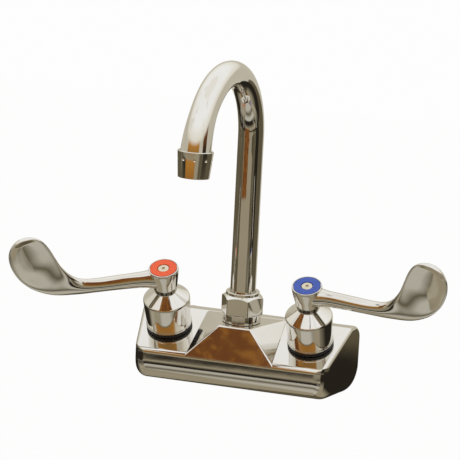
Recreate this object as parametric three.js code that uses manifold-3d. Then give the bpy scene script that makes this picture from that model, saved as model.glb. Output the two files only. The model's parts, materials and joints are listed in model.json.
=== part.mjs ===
// Commercial wall faucet: a cast body that fastens flat to a wall, two quarter-turn valves on
// 4 inch centres with wrist-blade handles, and a swivelling gooseneck spout.
//
// Millimetres, +Z up, +Y towards the wall. The origin is on the wall face, midway between the
// two inlet axes. Most heights of the body are measured from its pad plane, and most depths
// from the spout axis, because that is how such a body is dimensioned.

import * as THREE from "three";
import { ConvexGeometry } from "three/addons/geometries/ConvexGeometry.js";
import { mergeVertices } from "three/addons/utils/BufferGeometryUtils.js";
import Module from "manifold-3d";

const wasm = await Module();
wasm.setup();

const degrees = (angle) => (angle * Math.PI) / 180;

// ---------------------------------------------------------------- driving dimensions

// Fits
const FREE_GAP = 0.3; // between neighbours that rest on or turn in each other
const THREAD_GAP = 0.3; // radial, between plain cylinders that stand for a screw thread
const SLIDE_GAP = 0.3; // radial, between a turning shaft and its bore

// Body
const VALVE_SPACING = 101.6; // 4 inches
const SPOUT_TO_WALL = 30;
const SPOUT_TO_LIP = 29.5; // spout axis to the front edge of the deck
const PAD_ABOVE_INLETS = 21;
const DECK_TILT = 24;
const CREST_TO_WALL = 14.9; // level strip between the sloping deck and the wall
const BACK_TOP_RADIUS = 9.5;
const BACK_BOTTOM_RADIUS = 16;
const BACK_FLAT_BOTTOM = 31; // pad plane down to the end of the flat wall face
const FRONT_ROLL_RADIUS = 17.3;
const FRONT_ROLL_DROP = 27; // pad plane down to the middle of the front roll
const LIP_HALF_WIDTH = 67.6;
const WALL_HALF_WIDTH = 78.3;
const DECK_EDGE_ROUND = 3; // end edges along the deck
const FRONT_EDGE_ROUND = 8.5; // end edges of the front and the bottom
const WALL_EDGE_ROUND = 1.5; // end edges at the wall
const PAD_FRONT_FROM_SPOUT = 17.7;
const PAD_FRONT_HALF = 11.2;
const PAD_FOOT_HALF = 31;
const PAD_FOOT_FROM_LIP = 0.6;
const PAD_CREST_HALF = 29;
const POCKET_INNER = 19; // weight-saving pockets in the wall face, either side of the middle
const POCKET_OUTER = 33;
const POCKET_DEPTH = 21;
const POCKET_TOP = 12; // below the pad plane
const POCKET_BOTTOM = 30;

// Waterways
const INLET_BORE_DEPTH = 11.5;
const INLET_DUCT_RADIUS = 4.2;
const INLET_DUCT_DROP = 3.5; // duct mouth below the inlet axis
const PORT_RADIUS = 4.5;
const PORT_DEPTH = 7; // below the valve seat
const MIX_DUCT_RADIUS = 4;
const MIX_DUCT_DEPTH = 6; // below the deck, on the valve axis
const SPOUT_DUCT_RADIUS = 6;
const SPOUT_DUCT_DEPTH = 16; // below the pad plane

// Valve, measured along its axis from the deck
const VALVE_FROM_SPOUT = 3.5; // where the axis meets the deck, in front of the spout axis
const CHAMBER_RADIUS = 13;
const CHAMBER_DEPTH = 13.5;
const SEAT_DEPTH = 16;
const DISC_RADIUS = 8.2;
const DISC_THICK = 3;
const DISC_PORT_RADIUS = 2.3;
const DISC_PORT_OFFSET = 4.6;
const SEAT_SEAL_THICK = 2.1;
const STEM_RADIUS = 4.9;
const SPLINE_RADIUS = 4;
const SPLINE_LENGTH = 9.7;
const CARRIER_THICK = 3.4;
const DRIVE_WIDTH = 3;
const DRIVE_LENGTH = 9;
const DRIVE_DEPTH = 1.2;
const SHELL_FLANGE_RADIUS = 13.5;
const SHELL_FLANGE_HEIGHT = 4;
const SHELL_BARREL_RADIUS = 10;
const SHELL_NECK_RADIUS = 6;
const SHELL_SHOULDER = 20;
const SHELL_TOP = 29.3;
const WINDOW_HEIGHT = 5;
const WINDOW_WIDTH = 9;
const O_RING_SECTION = 0.92;
const STEM_RING_SECTION = 0.65;
const GROOVE_GAP = 0.1; // between an O-ring and the floor or sides of its groove
const CLIP_THICK = 0.9;
const CLIP_RADIUS = 5.6;
const CLIP_MOUTH = 5;

// Bonnet
const BONNET_RING_THICK = 2.8;
const BONNET_RING_WIDTH = 2;
const BONNET_RIM_RADIUS = 15.9;
const BONNET_FOOT_RADIUS = 15.5;
const BONNET_SHOULDER_RADIUS = 16.3;
const BONNET_SHOULDER = 24.7;
const BONNET_RIM_HEIGHT = 1.5;
const BONNET_TOP = 31.4;
const BONNET_WALL = 2;
const BONNET_CONE = 35; // slope of its top

// Handle, in its own frame: u outwards from the valve axis, n along the axis from the index face
const INDEX_FACE = 50.5; // above the deck
const HUB_TOP_RADIUS = 10.4;
const HUB_FOOT_RADIUS = 8;
const HUB_CLEARANCE = 0.5; // above the bonnet
const INDEX_RADIUS = 9.2;
const INDEX_HOLE_RADIUS = 4.1;
const INDEX_THICK = 1.7;
const SCREW_HEAD_RADIUS = 3.8;
const SCREW_HEAD_THICK = 1.6;
const SCREW_RADIUS = 1.9;
const SCREW_LENGTH = 14;
const SCREW_SOCKET_RADIUS = 1.3;
const SCREW_SOCKET_DEPTH = 0.9;
const HOT_ARM_FORWARD = 27; // how far each closed handle stands forward of the body's line
const COLD_ARM_FORWARD = 11;
const BLADE_THICK = 4.4;
const BLADE_DISH = 3.2; // how far the middle of the blade is pressed back
// The casting's upper and lower edge as [u, n], with its depth from front to back there.
const HANDLE_STATIONS = [
  { upper: [3, -1.6], lower: [3, -13], depth: 10 },
  { upper: [16, -0.8], lower: [16, -12], depth: 10.2 },
  { upper: [36, -0.4], lower: [36, -10.4], depth: 10 },
  { upper: [47, 0.2], lower: [48, -9.6], depth: 9.4 },
  { upper: [56.3, 2.2], lower: [61.5, -8.8], depth: 8.6 },
  { upper: [63.2, 7.4], lower: [76.5, -6.2], depth: 7.2 },
  { upper: [68.9, 16.2], lower: [88.8, 0.8], depth: 5.8 },
  { upper: [72.5, 25.6], lower: [97.4, 10.4], depth: BLADE_THICK },
  { upper: [75.8, 34.6], lower: [102.2, 21], depth: BLADE_THICK },
  { upper: [79.4, 41], lower: [103.6, 30.8], depth: BLADE_THICK },
  { upper: [83.6, 44.4], lower: [102, 38], depth: BLADE_THICK },
  { upper: [87.4, 45.6], lower: [98.6, 42.6], depth: BLADE_THICK },
  { upper: [91.6, 45.7], lower: [94.2, 45.1], depth: BLADE_THICK - 1 },
];
const DISH_STARTS = 0.3; // share of the handle's length where the dish begins
const DISH_FULL = 0.6;
const BLADE_WIDEST = 0.75; // past this share the tip comes forward as far as the edges do

// Spout, measured from the pad plane
const TUBE_RADIUS = 8.86;
const TUBE_WALL = 1.3;
const TUBE_END_RADIUS = 10.1; // the outlet end is swelled for its thread
const TUBE_SWELL_LENGTH = 34;
const BEND_RADIUS = 50.8;
const BEND_HEIGHT = 130.7;
const BEND_ANGLE = 174.5;
const SPOUT_SWING = 5.4; // the spout stands this far to the left of straight ahead
const COLLAR_RADIUS = 13.5;
const COLLAR_HEIGHT = 6.3;
const COLLAR_THREAD_RADIUS = 10.9;
const COLLAR_THREAD_HEIGHT = 6.8;
const COLLAR_SHANK_RADIUS = 10;
const COLLAR_SHANK_DEPTH = 9;
const NUT_ACROSS_FLATS = 26;
const NUT_HEIGHT = 13;
const NUT_NECK_RADIUS = 11.7;
const NUT_NECK_HEIGHT = 2.2;
const NUT_CHAMFER = 2;
const FERRULE_SHOULDER = 3.6;
const FERRULE_SPIGOT_RADIUS = 8.6;
const FERRULE_SPIGOT_LENGTH = 16;
const FERRULE_BORE = 6.8;
const FERRULE_SOCKET = 3.2;
const THRUST_WASHER_THICK = 1;

// Outlet, measured along the tube's end from its mouth
const OUTLET_LENGTH = 17.5;
const OUTLET_LAP = 4.6; // how far it reaches up over the tube
const OUTLET_TOP_RADIUS = 11.8;
const OUTLET_END_RADIUS = 10.3;
const OUTLET_LIP = 1.6;
const OUTLET_MOUTH_RADIUS = 8.3;
const OUTLET_WASHER_THICK = 1.6;
const OUTLET_DIMPLES = 9;
const DIMPLE_RADIUS = 0.95;
const DIMPLE_DEPTH = 0.6;
const DIMPLE_FROM_TOP = 5.2;
const INSERT_HOLE_RADIUS = 1.1;
const INSERT_HOLE_PITCH = 3.6;

// Inlets
const SHANK_RADIUS = 10.35;
const SHANK_BORE = 7;
const SHANK_PROUD = 30; // beyond the wall face
const SHANK_CHAMFER = 1;
const WALL_THICK = 1.6; // the sheet steel splash that the locknuts are drawn up against
const INLET_WASHER_RADIUS = 15;
const INLET_WASHER_THICK = 1.8;
const LOCKNUT_ACROSS_FLATS = 28;
const LOCKNUT_HEIGHT = 7;

// Facets
const ROUND_SIDES = 28;
const SMALL_SIDES = 16;

// ---------------------------------------------------------------- materials

const finish = (color, roughness, metalness) => ({ color, roughness, metalness });
const FINISHES = {
  chrome: finish(0xd6d4ce, 0.08, 1),
  brass: finish(0xb5933f, 0.35, 1),
  rubber: finish(0x16161a, 0.75, 0),
  ceramic: finish(0xe9e6dc, 0.35, 0),
  fibre: finish(0x7a2f22, 0.85, 0),
  nylon: finish(0xe4e2da, 0.5, 0),
  steel: finish(0xbdbab2, 0.3, 1),
  hotIndex: finish(0xe4572a, 0.35, 0),
  coldIndex: finish(0x3b57b4, 0.35, 0),
};

// ---------------------------------------------------------------- solids

/** A closed solid from any geometry: vertices merged, slivers dropped, faces pointing out. */
function solid(geometry) {
  const bare = new THREE.BufferGeometry();
  bare.setAttribute("position", geometry.getAttribute("position").clone());
  if (geometry.index) bare.setIndex(geometry.index.clone());
  const merged = mergeVertices(bare, 1e-4);
  const points = merged.getAttribute("position").array;
  const corners = merged.index.array;
  const triangles = [];
  let volume = 0;
  for (let i = 0; i < corners.length; i += 3) {
    const [a, b, c] = [corners[i], corners[i + 1], corners[i + 2]];
    if (a === b || b === c || c === a) continue;
    triangles.push(a, b, c);
    const [p, q, r] = [a, b, c].map((k) => new THREE.Vector3().fromArray(points, 3 * k));
    volume += p.dot(q.cross(r));
  }
  if (volume < 0) triangles.reverse();
  return new wasm.Manifold(
    new wasm.Mesh({
      numProp: 3,
      vertProperties: new Float32Array(points),
      triVerts: new Uint32Array(triangles),
    }),
  );
}

const join = (first, ...others) => others.reduce((sum, other) => sum.add(other), first);
const cut = (first, ...others) => others.reduce((rest, other) => rest.subtract(other), first);

/** The mesh of a solid, as a geometry. */
function geometryOf(body) {
  const mesh = body.getMesh();
  const geometry = new THREE.BufferGeometry();
  geometry.setAttribute("position", new THREE.BufferAttribute(mesh.vertProperties.slice(), 3));
  geometry.setIndex(new THREE.BufferAttribute(mesh.triVerts.slice(), 1));
  geometry.computeVertexNormals();
  return geometry;
}

/** Turned about +Z from a profile of [radius, height] pairs that closes on itself. */
function turned(profile, sides = ROUND_SIDES) {
  const loop = profile.map(([radius, height]) => new THREE.Vector2(radius, height));
  if (profile[0][0] > 0) loop.push(loop[0].clone());
  return solid(new THREE.LatheGeometry(loop, sides).rotateX(Math.PI / 2));
}

/** A cylinder along +Z. */
const rod = (radius, bottom, top, sides = ROUND_SIDES) =>
  turned([[0, bottom], [radius, bottom], [radius, top], [0, top]], sides);

/** A plain ring along +Z. */
const ring = (inner, outer, bottom, top, sides = ROUND_SIDES) =>
  turned([[inner, bottom], [outer, bottom], [outer, top], [inner, top]], sides);

/** A hexagonal prism along +Z, with corners on the X axis. */
function hexagon(acrossFlats, bottom, top) {
  const radius = acrossFlats / Math.sqrt(3);
  const prism = new THREE.CylinderGeometry(radius, radius, top - bottom, 6);
  return solid(
    prism
      .rotateY(Math.PI / 2)
      .rotateX(Math.PI / 2)
      .translate(0, 0, (top + bottom) / 2),
  );
}

/** A box given by its two far corners. */
function block([x0, y0, z0], [x1, y1, z1]) {
  const box = new THREE.BoxGeometry(x1 - x0, y1 - y0, z1 - z0);
  return solid(box.translate((x0 + x1) / 2, (y0 + y1) / 2, (z0 + z1) / 2));
}

/** A round bar between two points. */
function bar(radius, from, to, sides = SMALL_SIDES) {
  const start = new THREE.Vector3(...from);
  const end = new THREE.Vector3(...to);
  const length = start.distanceTo(end);
  const turn = new THREE.Quaternion().setFromUnitVectors(
    new THREE.Vector3(0, 1, 0),
    end.clone().sub(start).normalize(),
  );
  const cylinder = new THREE.CylinderGeometry(radius, radius, length, sides);
  cylinder.applyQuaternion(turn);
  return solid(cylinder.translate(...start.add(end).multiplyScalar(0.5).toArray()));
}

/** A closed skin over a row of rings that all have as many points, with flat ends. */
function loft(rings) {
  const count = rings[0].length;
  const positions = rings.flat().flatMap((point) => point.toArray());
  const index = [];
  for (let row = 0; row + 1 < rings.length; row += 1) {
    for (let k = 0; k < count; k += 1) {
      const next = (k + 1) % count;
      const [a, b] = [row * count + k, row * count + next];
      const [c, d] = [a + count, b + count];
      index.push(a, b, d, a, d, c);
    }
  }
  for (const [row, flip] of [[0, true], [rings.length - 1, false]]) {
    const centre = rings[row]
      .reduce((sum, point) => sum.add(point), new THREE.Vector3())
      .divideScalar(count);
    const hub = positions.length / 3;
    positions.push(...centre.toArray());
    for (let k = 0; k < count; k += 1) {
      const [a, b] = [row * count + k, row * count + ((k + 1) % count)];
      index.push(...(flip ? [hub, b, a] : [hub, a, b]));
    }
  }
  const geometry = new THREE.BufferGeometry();
  geometry.setAttribute("position", new THREE.Float32BufferAttribute(positions, 3));
  geometry.setIndex(index);
  return solid(geometry);
}

/** Points on an arc, from one angle to another, in degrees. */
function arc(centreA, centreB, radius, from, to, steps) {
  return Array.from({ length: steps + 1 }, (_, k) => {
    const angle = degrees(from + ((to - from) * k) / steps);
    return [centreA + radius * Math.cos(angle), centreB + radius * Math.sin(angle)];
  });
}

// ---------------------------------------------------------------- the assembly

const faucet = new THREE.Group();

/** A named mesh of its own material in a group. */
function piece(group, name, body, look) {
  const mesh = new THREE.Mesh(geometryOf(body), new THREE.MeshStandardMaterial(FINISHES[look]));
  mesh.name = name;
  group.add(mesh);
  return mesh;
}

// Everything on the pad plane is placed in this group, with its origin on the spout axis.
const padFrame = new THREE.Group();
padFrame.position.set(0, -SPOUT_TO_WALL, PAD_ABOVE_INLETS);
faucet.add(padFrame);

const deckRise = Math.tan(degrees(DECK_TILT));
const crestY = SPOUT_TO_WALL - CREST_TO_WALL;
const deckAt = (y) => (y - crestY) * deckRise;
const halfWidthAt = (y) => {
  const share = (y + SPOUT_TO_LIP) / (SPOUT_TO_WALL + SPOUT_TO_LIP);
  return LIP_HALF_WIDTH + (WALL_HALF_WIDTH - LIP_HALF_WIDTH) * share;
};

// A valve's own frame stands on the deck with +Z along the valve axis.
const valveFoot = new THREE.Vector3(0, -VALVE_FROM_SPOUT, deckAt(-VALVE_FROM_SPOUT));
const valveTurn = new THREE.Matrix4().makeRotationX(degrees(DECK_TILT));
const valveMatrix = (side) =>
  new THREE.Matrix4()
    .makeTranslation((side * VALVE_SPACING) / 2, valveFoot.y, valveFoot.z)
    .multiply(valveTurn);
const onValve = (side, body) => body.transform(valveMatrix(side).toArray());
const alongValve = (height) => [
  valveFoot.y - height * Math.sin(degrees(DECK_TILT)),
  valveFoot.z + height * Math.cos(degrees(DECK_TILT)),
];

// ---------------------------------------------------------------- body

/** The body's end profile as [y, z, end rounding] rows, anticlockwise seen from +X. */
function bodyProfile() {
  const lipZ = deckAt(-SPOUT_TO_LIP);
  const rows = [];
  const add = (points, round) => points.forEach(([y, z]) => rows.push([y, z, round]));
  add([[-SPOUT_TO_LIP + 0.5, lipZ + 0.1]], (DECK_EDGE_ROUND + FRONT_EDGE_ROUND) / 2);
  add([[-SPOUT_TO_LIP + 3, deckAt(-SPOUT_TO_LIP + 3)]], DECK_EDGE_ROUND + 1);
  add([[-SPOUT_TO_LIP + 8, deckAt(-SPOUT_TO_LIP + 8)], [crestY, 0]], DECK_EDGE_ROUND);
  const backArc = SPOUT_TO_WALL - BACK_TOP_RADIUS;
  arc(backArc, -BACK_TOP_RADIUS, BACK_TOP_RADIUS, 90, 0, 6).forEach(([y, z], k) => {
    rows.push([y, z, DECK_EDGE_ROUND + ((WALL_EDGE_ROUND - DECK_EDGE_ROUND) * k) / 6]);
  });
  const lowArc = SPOUT_TO_WALL - BACK_BOTTOM_RADIUS;
  const rollY = -SPOUT_TO_LIP + FRONT_ROLL_RADIUS;
  const fall = Math.atan2(
    BACK_FLAT_BOTTOM + BACK_BOTTOM_RADIUS - FRONT_ROLL_DROP - FRONT_ROLL_RADIUS,
    lowArc - rollY,
  );
  const low = -90 - (fall * 180) / Math.PI;
  arc(lowArc, -BACK_FLAT_BOTTOM, BACK_BOTTOM_RADIUS, 0, low, 8).forEach(([y, z], k) => {
    rows.push([y, z, WALL_EDGE_ROUND + ((FRONT_EDGE_ROUND - WALL_EDGE_ROUND) * k) / 8]);
  });
  add(arc(rollY, -FRONT_ROLL_DROP, FRONT_ROLL_RADIUS, low, -180, 8), FRONT_EDGE_ROUND);
  add([[-SPOUT_TO_LIP, lipZ - 3]], FRONT_EDGE_ROUND);
  add([[-SPOUT_TO_LIP, lipZ - 0.6]], (DECK_EDGE_ROUND + FRONT_EDGE_ROUND) / 2);
  return rows;
}

/** The cast block: the profile run from end to end, with flared and rounded ends. */
function bodyBlock() {
  const rows = bodyProfile();
  const inward = rows.map((_, k) => {
    const [before, after] = [rows.at(k - 1), rows[(k + 1) % rows.length]];
    return new THREE.Vector2(before[1] - after[1], after[0] - before[0]).normalize().negate();
  });
  const ringAt = (side, turn) =>
    rows.map(([y, z, round], k) => {
      const inset = round * (1 - Math.cos(degrees(turn)));
      const setBack = round * (1 - Math.sin(degrees(turn)));
      const insetY = y + inward[k].x * inset;
      const insetZ = z + inward[k].y * inset;
      return new THREE.Vector3(side * (halfWidthAt(insetY) - setBack), insetY, insetZ);
    });
  const turns = [90, 60, 30, 0];
  return loft([
    ...turns.map((turn) => ringAt(-1, turn)),
    ...turns.toReversed().map((turn) => ringAt(1, turn)),
  ]);
}

/** The raised pad: a steep front face and two three-cornered side facets. */
function padBlock() {
  const footY = -SPOUT_TO_LIP + PAD_FOOT_FROM_LIP;
  const corners = [];
  for (const side of [-1, 1]) {
    corners.push(
      new THREE.Vector3(side * PAD_FRONT_HALF, -PAD_FRONT_FROM_SPOUT, 0),
      new THREE.Vector3(side * PAD_CREST_HALF, crestY, 0),
      new THREE.Vector3(side * PAD_FOOT_HALF, footY, deckAt(footY)),
      new THREE.Vector3(side * PAD_CREST_HALF, crestY, -8),
      new THREE.Vector3(side * (PAD_FOOT_HALF - 2), footY + 4, deckAt(footY) - 6),
    );
  }
  return solid(new ConvexGeometry(corners));
}

/** What is cut for one valve and its inlet, in the pad frame. */
function valveWaterway(side) {
  const x = (side * VALVE_SPACING) / 2;
  const inletZ = -PAD_ABOVE_INLETS;
  const inletEnd = SPOUT_TO_WALL - INLET_BORE_DEPTH;
  const [portY, portZ] = alongValve(-SEAT_DEPTH - PORT_DEPTH + 0.5);
  const [mixY, mixZ] = alongValve(-MIX_DUCT_DEPTH);
  return [
    onValve(side, rod(CHAMBER_RADIUS, -CHAMBER_DEPTH, 20)),
    onValve(side, rod(DISC_RADIUS + FREE_GAP, -SEAT_DEPTH, 0)),
    onValve(side, rod(PORT_RADIUS, -SEAT_DEPTH - PORT_DEPTH, 0, SMALL_SIDES)),
    bar(SHANK_RADIUS + THREAD_GAP, [x, inletEnd, inletZ], [x, SPOUT_TO_WALL + 5, inletZ], ROUND_SIDES),
    bar(INLET_DUCT_RADIUS, [x, inletEnd + 3, inletZ - INLET_DUCT_DROP], [x, portY, portZ]),
    bar(
      MIX_DUCT_RADIUS,
      [(-side * SPOUT_DUCT_RADIUS) / 2, mixY, mixZ],
      [x - side * (CHAMBER_RADIUS - 2), mixY, mixZ],
    ),
  ];
}

function faucetBody() {
  const pockets = [-1, 1].map((side) => {
    const [a, b] = [side * POCKET_INNER, side * POCKET_OUTER].sort((p, q) => p - q);
    return block(
      [a, SPOUT_TO_WALL - POCKET_DEPTH, -POCKET_BOTTOM],
      [b, SPOUT_TO_WALL + 5, -POCKET_TOP],
    );
  });
  return cut(
    join(bodyBlock(), padBlock()),
    ...valveWaterway(-1),
    ...valveWaterway(1),
    rod(COLLAR_SHANK_RADIUS + THREAD_GAP, -COLLAR_SHANK_DEPTH - FREE_GAP, 5),
    rod(SPOUT_DUCT_RADIUS, -SPOUT_DUCT_DEPTH, 0, SMALL_SIDES),
    ...pockets,
  );
}

piece(padFrame, "faucet_body", faucetBody(), "chrome");

// ---------------------------------------------------------------- inlets

/** A shape turned about +Z, laid along +Y on the inlet axis of one side. */
const onInlet = (side, body) => {
  const place = new THREE.Matrix4()
    .makeTranslation((side * VALVE_SPACING) / 2, 0, 0)
    .multiply(new THREE.Matrix4().makeRotationX(-Math.PI / 2));
  return body.transform(place.toArray());
};

function addInlet(side, prefix) {
  const inner = SHANK_RADIUS - SHANK_CHAMFER;
  const shank = turned([
    [SHANK_BORE, FREE_GAP - INLET_BORE_DEPTH],
    [SHANK_RADIUS, FREE_GAP - INLET_BORE_DEPTH],
    [SHANK_RADIUS, SHANK_PROUD - SHANK_CHAMFER],
    [inner, SHANK_PROUD],
    [SHANK_BORE, SHANK_PROUD],
  ]);
  const bore = SHANK_RADIUS + THREAD_GAP;
  const nutBottom = WALL_THICK + INLET_WASHER_THICK + FREE_GAP;
  const washer = ring(bore, INLET_WASHER_RADIUS, WALL_THICK, WALL_THICK + INLET_WASHER_THICK);
  const nut = cut(
    hexagon(LOCKNUT_ACROSS_FLATS, nutBottom, nutBottom + LOCKNUT_HEIGHT),
    rod(bore, nutBottom - 1, nutBottom + LOCKNUT_HEIGHT + 1),
  );
  piece(faucet, `${prefix}_inlet_shank`, onInlet(side, shank), "brass");
  piece(faucet, `${prefix}_inlet_washer`, onInlet(side, washer), "fibre");
  piece(faucet, `${prefix}_inlet_locknut`, onInlet(side, nut), "brass");
}

addInlet(-1, "hot");
addInlet(1, "cold");

// ---------------------------------------------------------------- valves

const seatFloor = -SEAT_DEPTH + FREE_GAP;
const fixedDiscBottom = seatFloor + SEAT_SEAL_THICK + FREE_GAP;
const movingDiscBottom = fixedDiscBottom + DISC_THICK + FREE_GAP;
const carrierBottom = movingDiscBottom + DISC_THICK + FREE_GAP;
const carrierTop = carrierBottom + CARRIER_THICK;
const shellBore = DISC_RADIUS + SLIDE_GAP;
const stemBore = STEM_RADIUS + SLIDE_GAP;
const shellThread = CHAMBER_RADIUS - THREAD_GAP;
const clipBottom = SHELL_TOP + FREE_GAP;
const clipGroove = SPLINE_RADIUS - 0.4;
const hubBottom = BONNET_TOP + HUB_CLEARANCE;
const stemTop = hubBottom + SPLINE_LENGTH - FREE_GAP;

/** An O-ring about +Z, resting in a groove with its floor at the given radius. */
const oRing = (floor, section, height, sides) =>
  turned(arc(floor + GROOVE_GAP + section, height, section, 0, 360, 6).slice(0, 6), sides);
const grooveFloor = (surface, section) => surface - 2 * section + GROOVE_GAP;
const grooveHalf = (section) => section + GROOVE_GAP;
const SHELL_RING_HEIGHT = -2.5;

/** A disc of the valve with two ports, at the given angle. */
function valveDisc(bottom, portAngle) {
  const ports = [0, 180].map((turn) => {
    const angle = degrees(portAngle + turn);
    const [x, y] = [DISC_PORT_OFFSET * Math.cos(angle), DISC_PORT_OFFSET * Math.sin(angle)];
    return bar(DISC_PORT_RADIUS, [x, y, bottom - 1], [x, y, bottom + DISC_THICK + 1], 12);
  });
  return cut(rod(DISC_RADIUS, bottom, bottom + DISC_THICK), ...ports);
}

const driveBar = (width, length, bottom, top) =>
  block([-length / 2, -width / 2, bottom], [length / 2, width / 2, top]);

function cartridgeShell() {
  const grooveTop = SHELL_RING_HEIGHT + grooveHalf(O_RING_SECTION);
  const grooveBottom = SHELL_RING_HEIGHT - grooveHalf(O_RING_SECTION);
  const grooveRadius = grooveFloor(shellThread, O_RING_SECTION);
  const body = turned([
    [shellBore, -CHAMBER_DEPTH + FREE_GAP],
    [shellThread, -CHAMBER_DEPTH + FREE_GAP],
    [shellThread, grooveBottom],
    [grooveRadius, grooveBottom],
    [grooveRadius, grooveTop],
    [shellThread, grooveTop],
    [shellThread, FREE_GAP],
    [SHELL_FLANGE_RADIUS, FREE_GAP],
    [SHELL_FLANGE_RADIUS, SHELL_FLANGE_HEIGHT],
    [SHELL_BARREL_RADIUS, SHELL_FLANGE_HEIGHT + 1],
    [SHELL_BARREL_RADIUS, SHELL_SHOULDER],
    [SHELL_NECK_RADIUS, SHELL_SHOULDER + 3],
    [SHELL_NECK_RADIUS, SHELL_TOP],
    [stemBore, SHELL_TOP],
    [stemBore, carrierTop + FREE_GAP],
    [shellBore, carrierTop + FREE_GAP],
  ]);
  const windowTop = grooveBottom - 1.2;
  const window = block(
    [-CHAMBER_RADIUS - 2, -WINDOW_WIDTH / 2, windowTop - WINDOW_HEIGHT],
    [CHAMBER_RADIUS + 2, WINDOW_WIDTH / 2, windowTop],
  );
  return cut(body, window);
}

function stemBody() {
  const ringSeats = [12, 17];
  const seatHalf = grooveHalf(STEM_RING_SECTION);
  const seatRadius = grooveFloor(STEM_RADIUS, STEM_RING_SECTION);
  const shaft = [
    [0, carrierBottom],
    [DISC_RADIUS, carrierBottom],
    [DISC_RADIUS, carrierTop],
    [STEM_RADIUS, carrierTop],
  ];
  for (const height of ringSeats) {
    shaft.push([STEM_RADIUS, height - seatHalf], [seatRadius, height - seatHalf]);
    shaft.push([seatRadius, height + seatHalf], [STEM_RADIUS, height + seatHalf]);
  }
  shaft.push(
    [STEM_RADIUS, clipBottom - 0.1],
    [clipGroove, clipBottom - 0.1],
    [clipGroove, clipBottom + CLIP_THICK + 0.1],
    [SPLINE_RADIUS, clipBottom + CLIP_THICK + 0.1],
    [SPLINE_RADIUS, stemTop],
    [0, stemTop],
  );
  const drive = driveBar(DRIVE_WIDTH, DRIVE_LENGTH, carrierBottom - DRIVE_DEPTH, carrierBottom + 1);
  const tapped = rod(SCREW_RADIUS + 0.2, INDEX_FACE - SCREW_LENGTH - 2.5, stemTop + 1, SMALL_SIDES);
  return { ringSeats, seatRadius, body: cut(join(turned(shaft, SMALL_SIDES), drive), tapped) };
}

function bonnet() {
  const bottom = BONNET_RING_THICK + FREE_GAP;
  const slope = Math.tan(degrees(BONNET_CONE));
  const shoulderRound = 2;
  const mouth = SHELL_NECK_RADIUS + 0.5;
  const lipRadius = mouth + 0.8;
  const shoulder = arc(
    BONNET_SHOULDER_RADIUS - shoulderRound,
    BONNET_SHOULDER - shoulderRound * 0.6,
    shoulderRound,
    0,
    90 - BONNET_CONE,
    3,
  );
  const [topRadius, topHeight] = shoulder.at(-1);
  const coneTop = topHeight + (topRadius - lipRadius) * slope;
  const inner = SHELL_FLANGE_RADIUS + 0.4;
  return turned([
    [inner, bottom],
    [BONNET_RIM_RADIUS - 0.4, bottom],
    [BONNET_RIM_RADIUS, bottom + 0.4],
    [BONNET_RIM_RADIUS, bottom + BONNET_RIM_HEIGHT - 0.4],
    [BONNET_FOOT_RADIUS, bottom + BONNET_RIM_HEIGHT],
    ...shoulder,
    [lipRadius, coneTop],
    [lipRadius, BONNET_TOP],
    [mouth, BONNET_TOP],
    [mouth, coneTop - BONNET_WALL],
    [inner, BONNET_SHOULDER - BONNET_WALL - 0.6],
  ]);
}

// ---------------------------------------------------------------- handle

/** A smooth curve through one value of every handle station. */
const stationCurve = (pick) =>
  new THREE.CatmullRomCurve3(HANDLE_STATIONS.map(pick), false, "catmullrom", 0.5);
const upperEdge = stationCurve(({ upper: [u, n] }) => new THREE.Vector3(u, 0, n));
const lowerEdge = stationCurve(({ lower: [u, n] }) => new THREE.Vector3(u, 0, n));
const depthCurve = stationCurve(({ depth }) => new THREE.Vector3(depth, 0, 0));

/** Arm and blade: oval at the hub, flattening into a dished blade that stands up. */
function armAndBlade() {
  const steps = 24;
  const around = 14;
  const rings = [];
  for (let step = 0; step <= steps; step += 1) {
    const share = step / steps;
    const upper = upperEdge.getPoint(share);
    const lower = lowerEdge.getPoint(share);
    const depth = depthCurve.getPoint(share).x / 2;
    const flatness = THREE.MathUtils.smoothstep(share, DISH_STARTS, DISH_FULL);
    const narrowing = Math.min(upper.distanceTo(lower) / 22, 1);
    const dish = BLADE_DISH * flatness * narrowing ** 2;
    const tipForward = share > BLADE_WIDEST ? (BLADE_DISH * (1 - narrowing ** 2)) / 2 : 0;
    rings.push(
      Array.from({ length: around }, (_, k) => {
        const angle = (2 * Math.PI * k) / around;
        const [c, s] = [Math.cos(angle), Math.sin(angle)];
        const across = Math.sign(c) * Math.abs(c) ** (1 - 0.2 * flatness);
        const through = Math.sign(s) * Math.abs(s) ** (1 - 0.35 * flatness);
        const point = lower.clone().lerp(upper, (across + 1) / 2);
        return point.setY(depth * through + dish * (0.5 - across ** 2) - tipForward);
      }),
    );
  }
  return loft(rings);
}

/** The hub, standing on n = 0 at its index face, with its spline socket and screw hole. */
function hub() {
  const bottom = hubBottom - INDEX_FACE;
  const socketTop = bottom + SPLINE_LENGTH;
  const recess = -INDEX_THICK - FREE_GAP;
  const rim = INDEX_RADIUS + FREE_GAP;
  return turned([
    [SPLINE_RADIUS + FREE_GAP, bottom],
    [HUB_FOOT_RADIUS, bottom],
    [HUB_FOOT_RADIUS + 0.7, -13],
    [HUB_TOP_RADIUS - 0.9, -9],
    [HUB_TOP_RADIUS - 0.3, -5.4],
    [HUB_TOP_RADIUS, -2.6],
    [HUB_TOP_RADIUS, -1],
    [HUB_TOP_RADIUS - 0.15, -0.1],
    [rim, -0.1],
    [rim, recess],
    [SCREW_RADIUS + FREE_GAP, recess],
    [SCREW_RADIUS + FREE_GAP, socketTop],
    [SPLINE_RADIUS + FREE_GAP, socketTop],
  ]);
}

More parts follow.
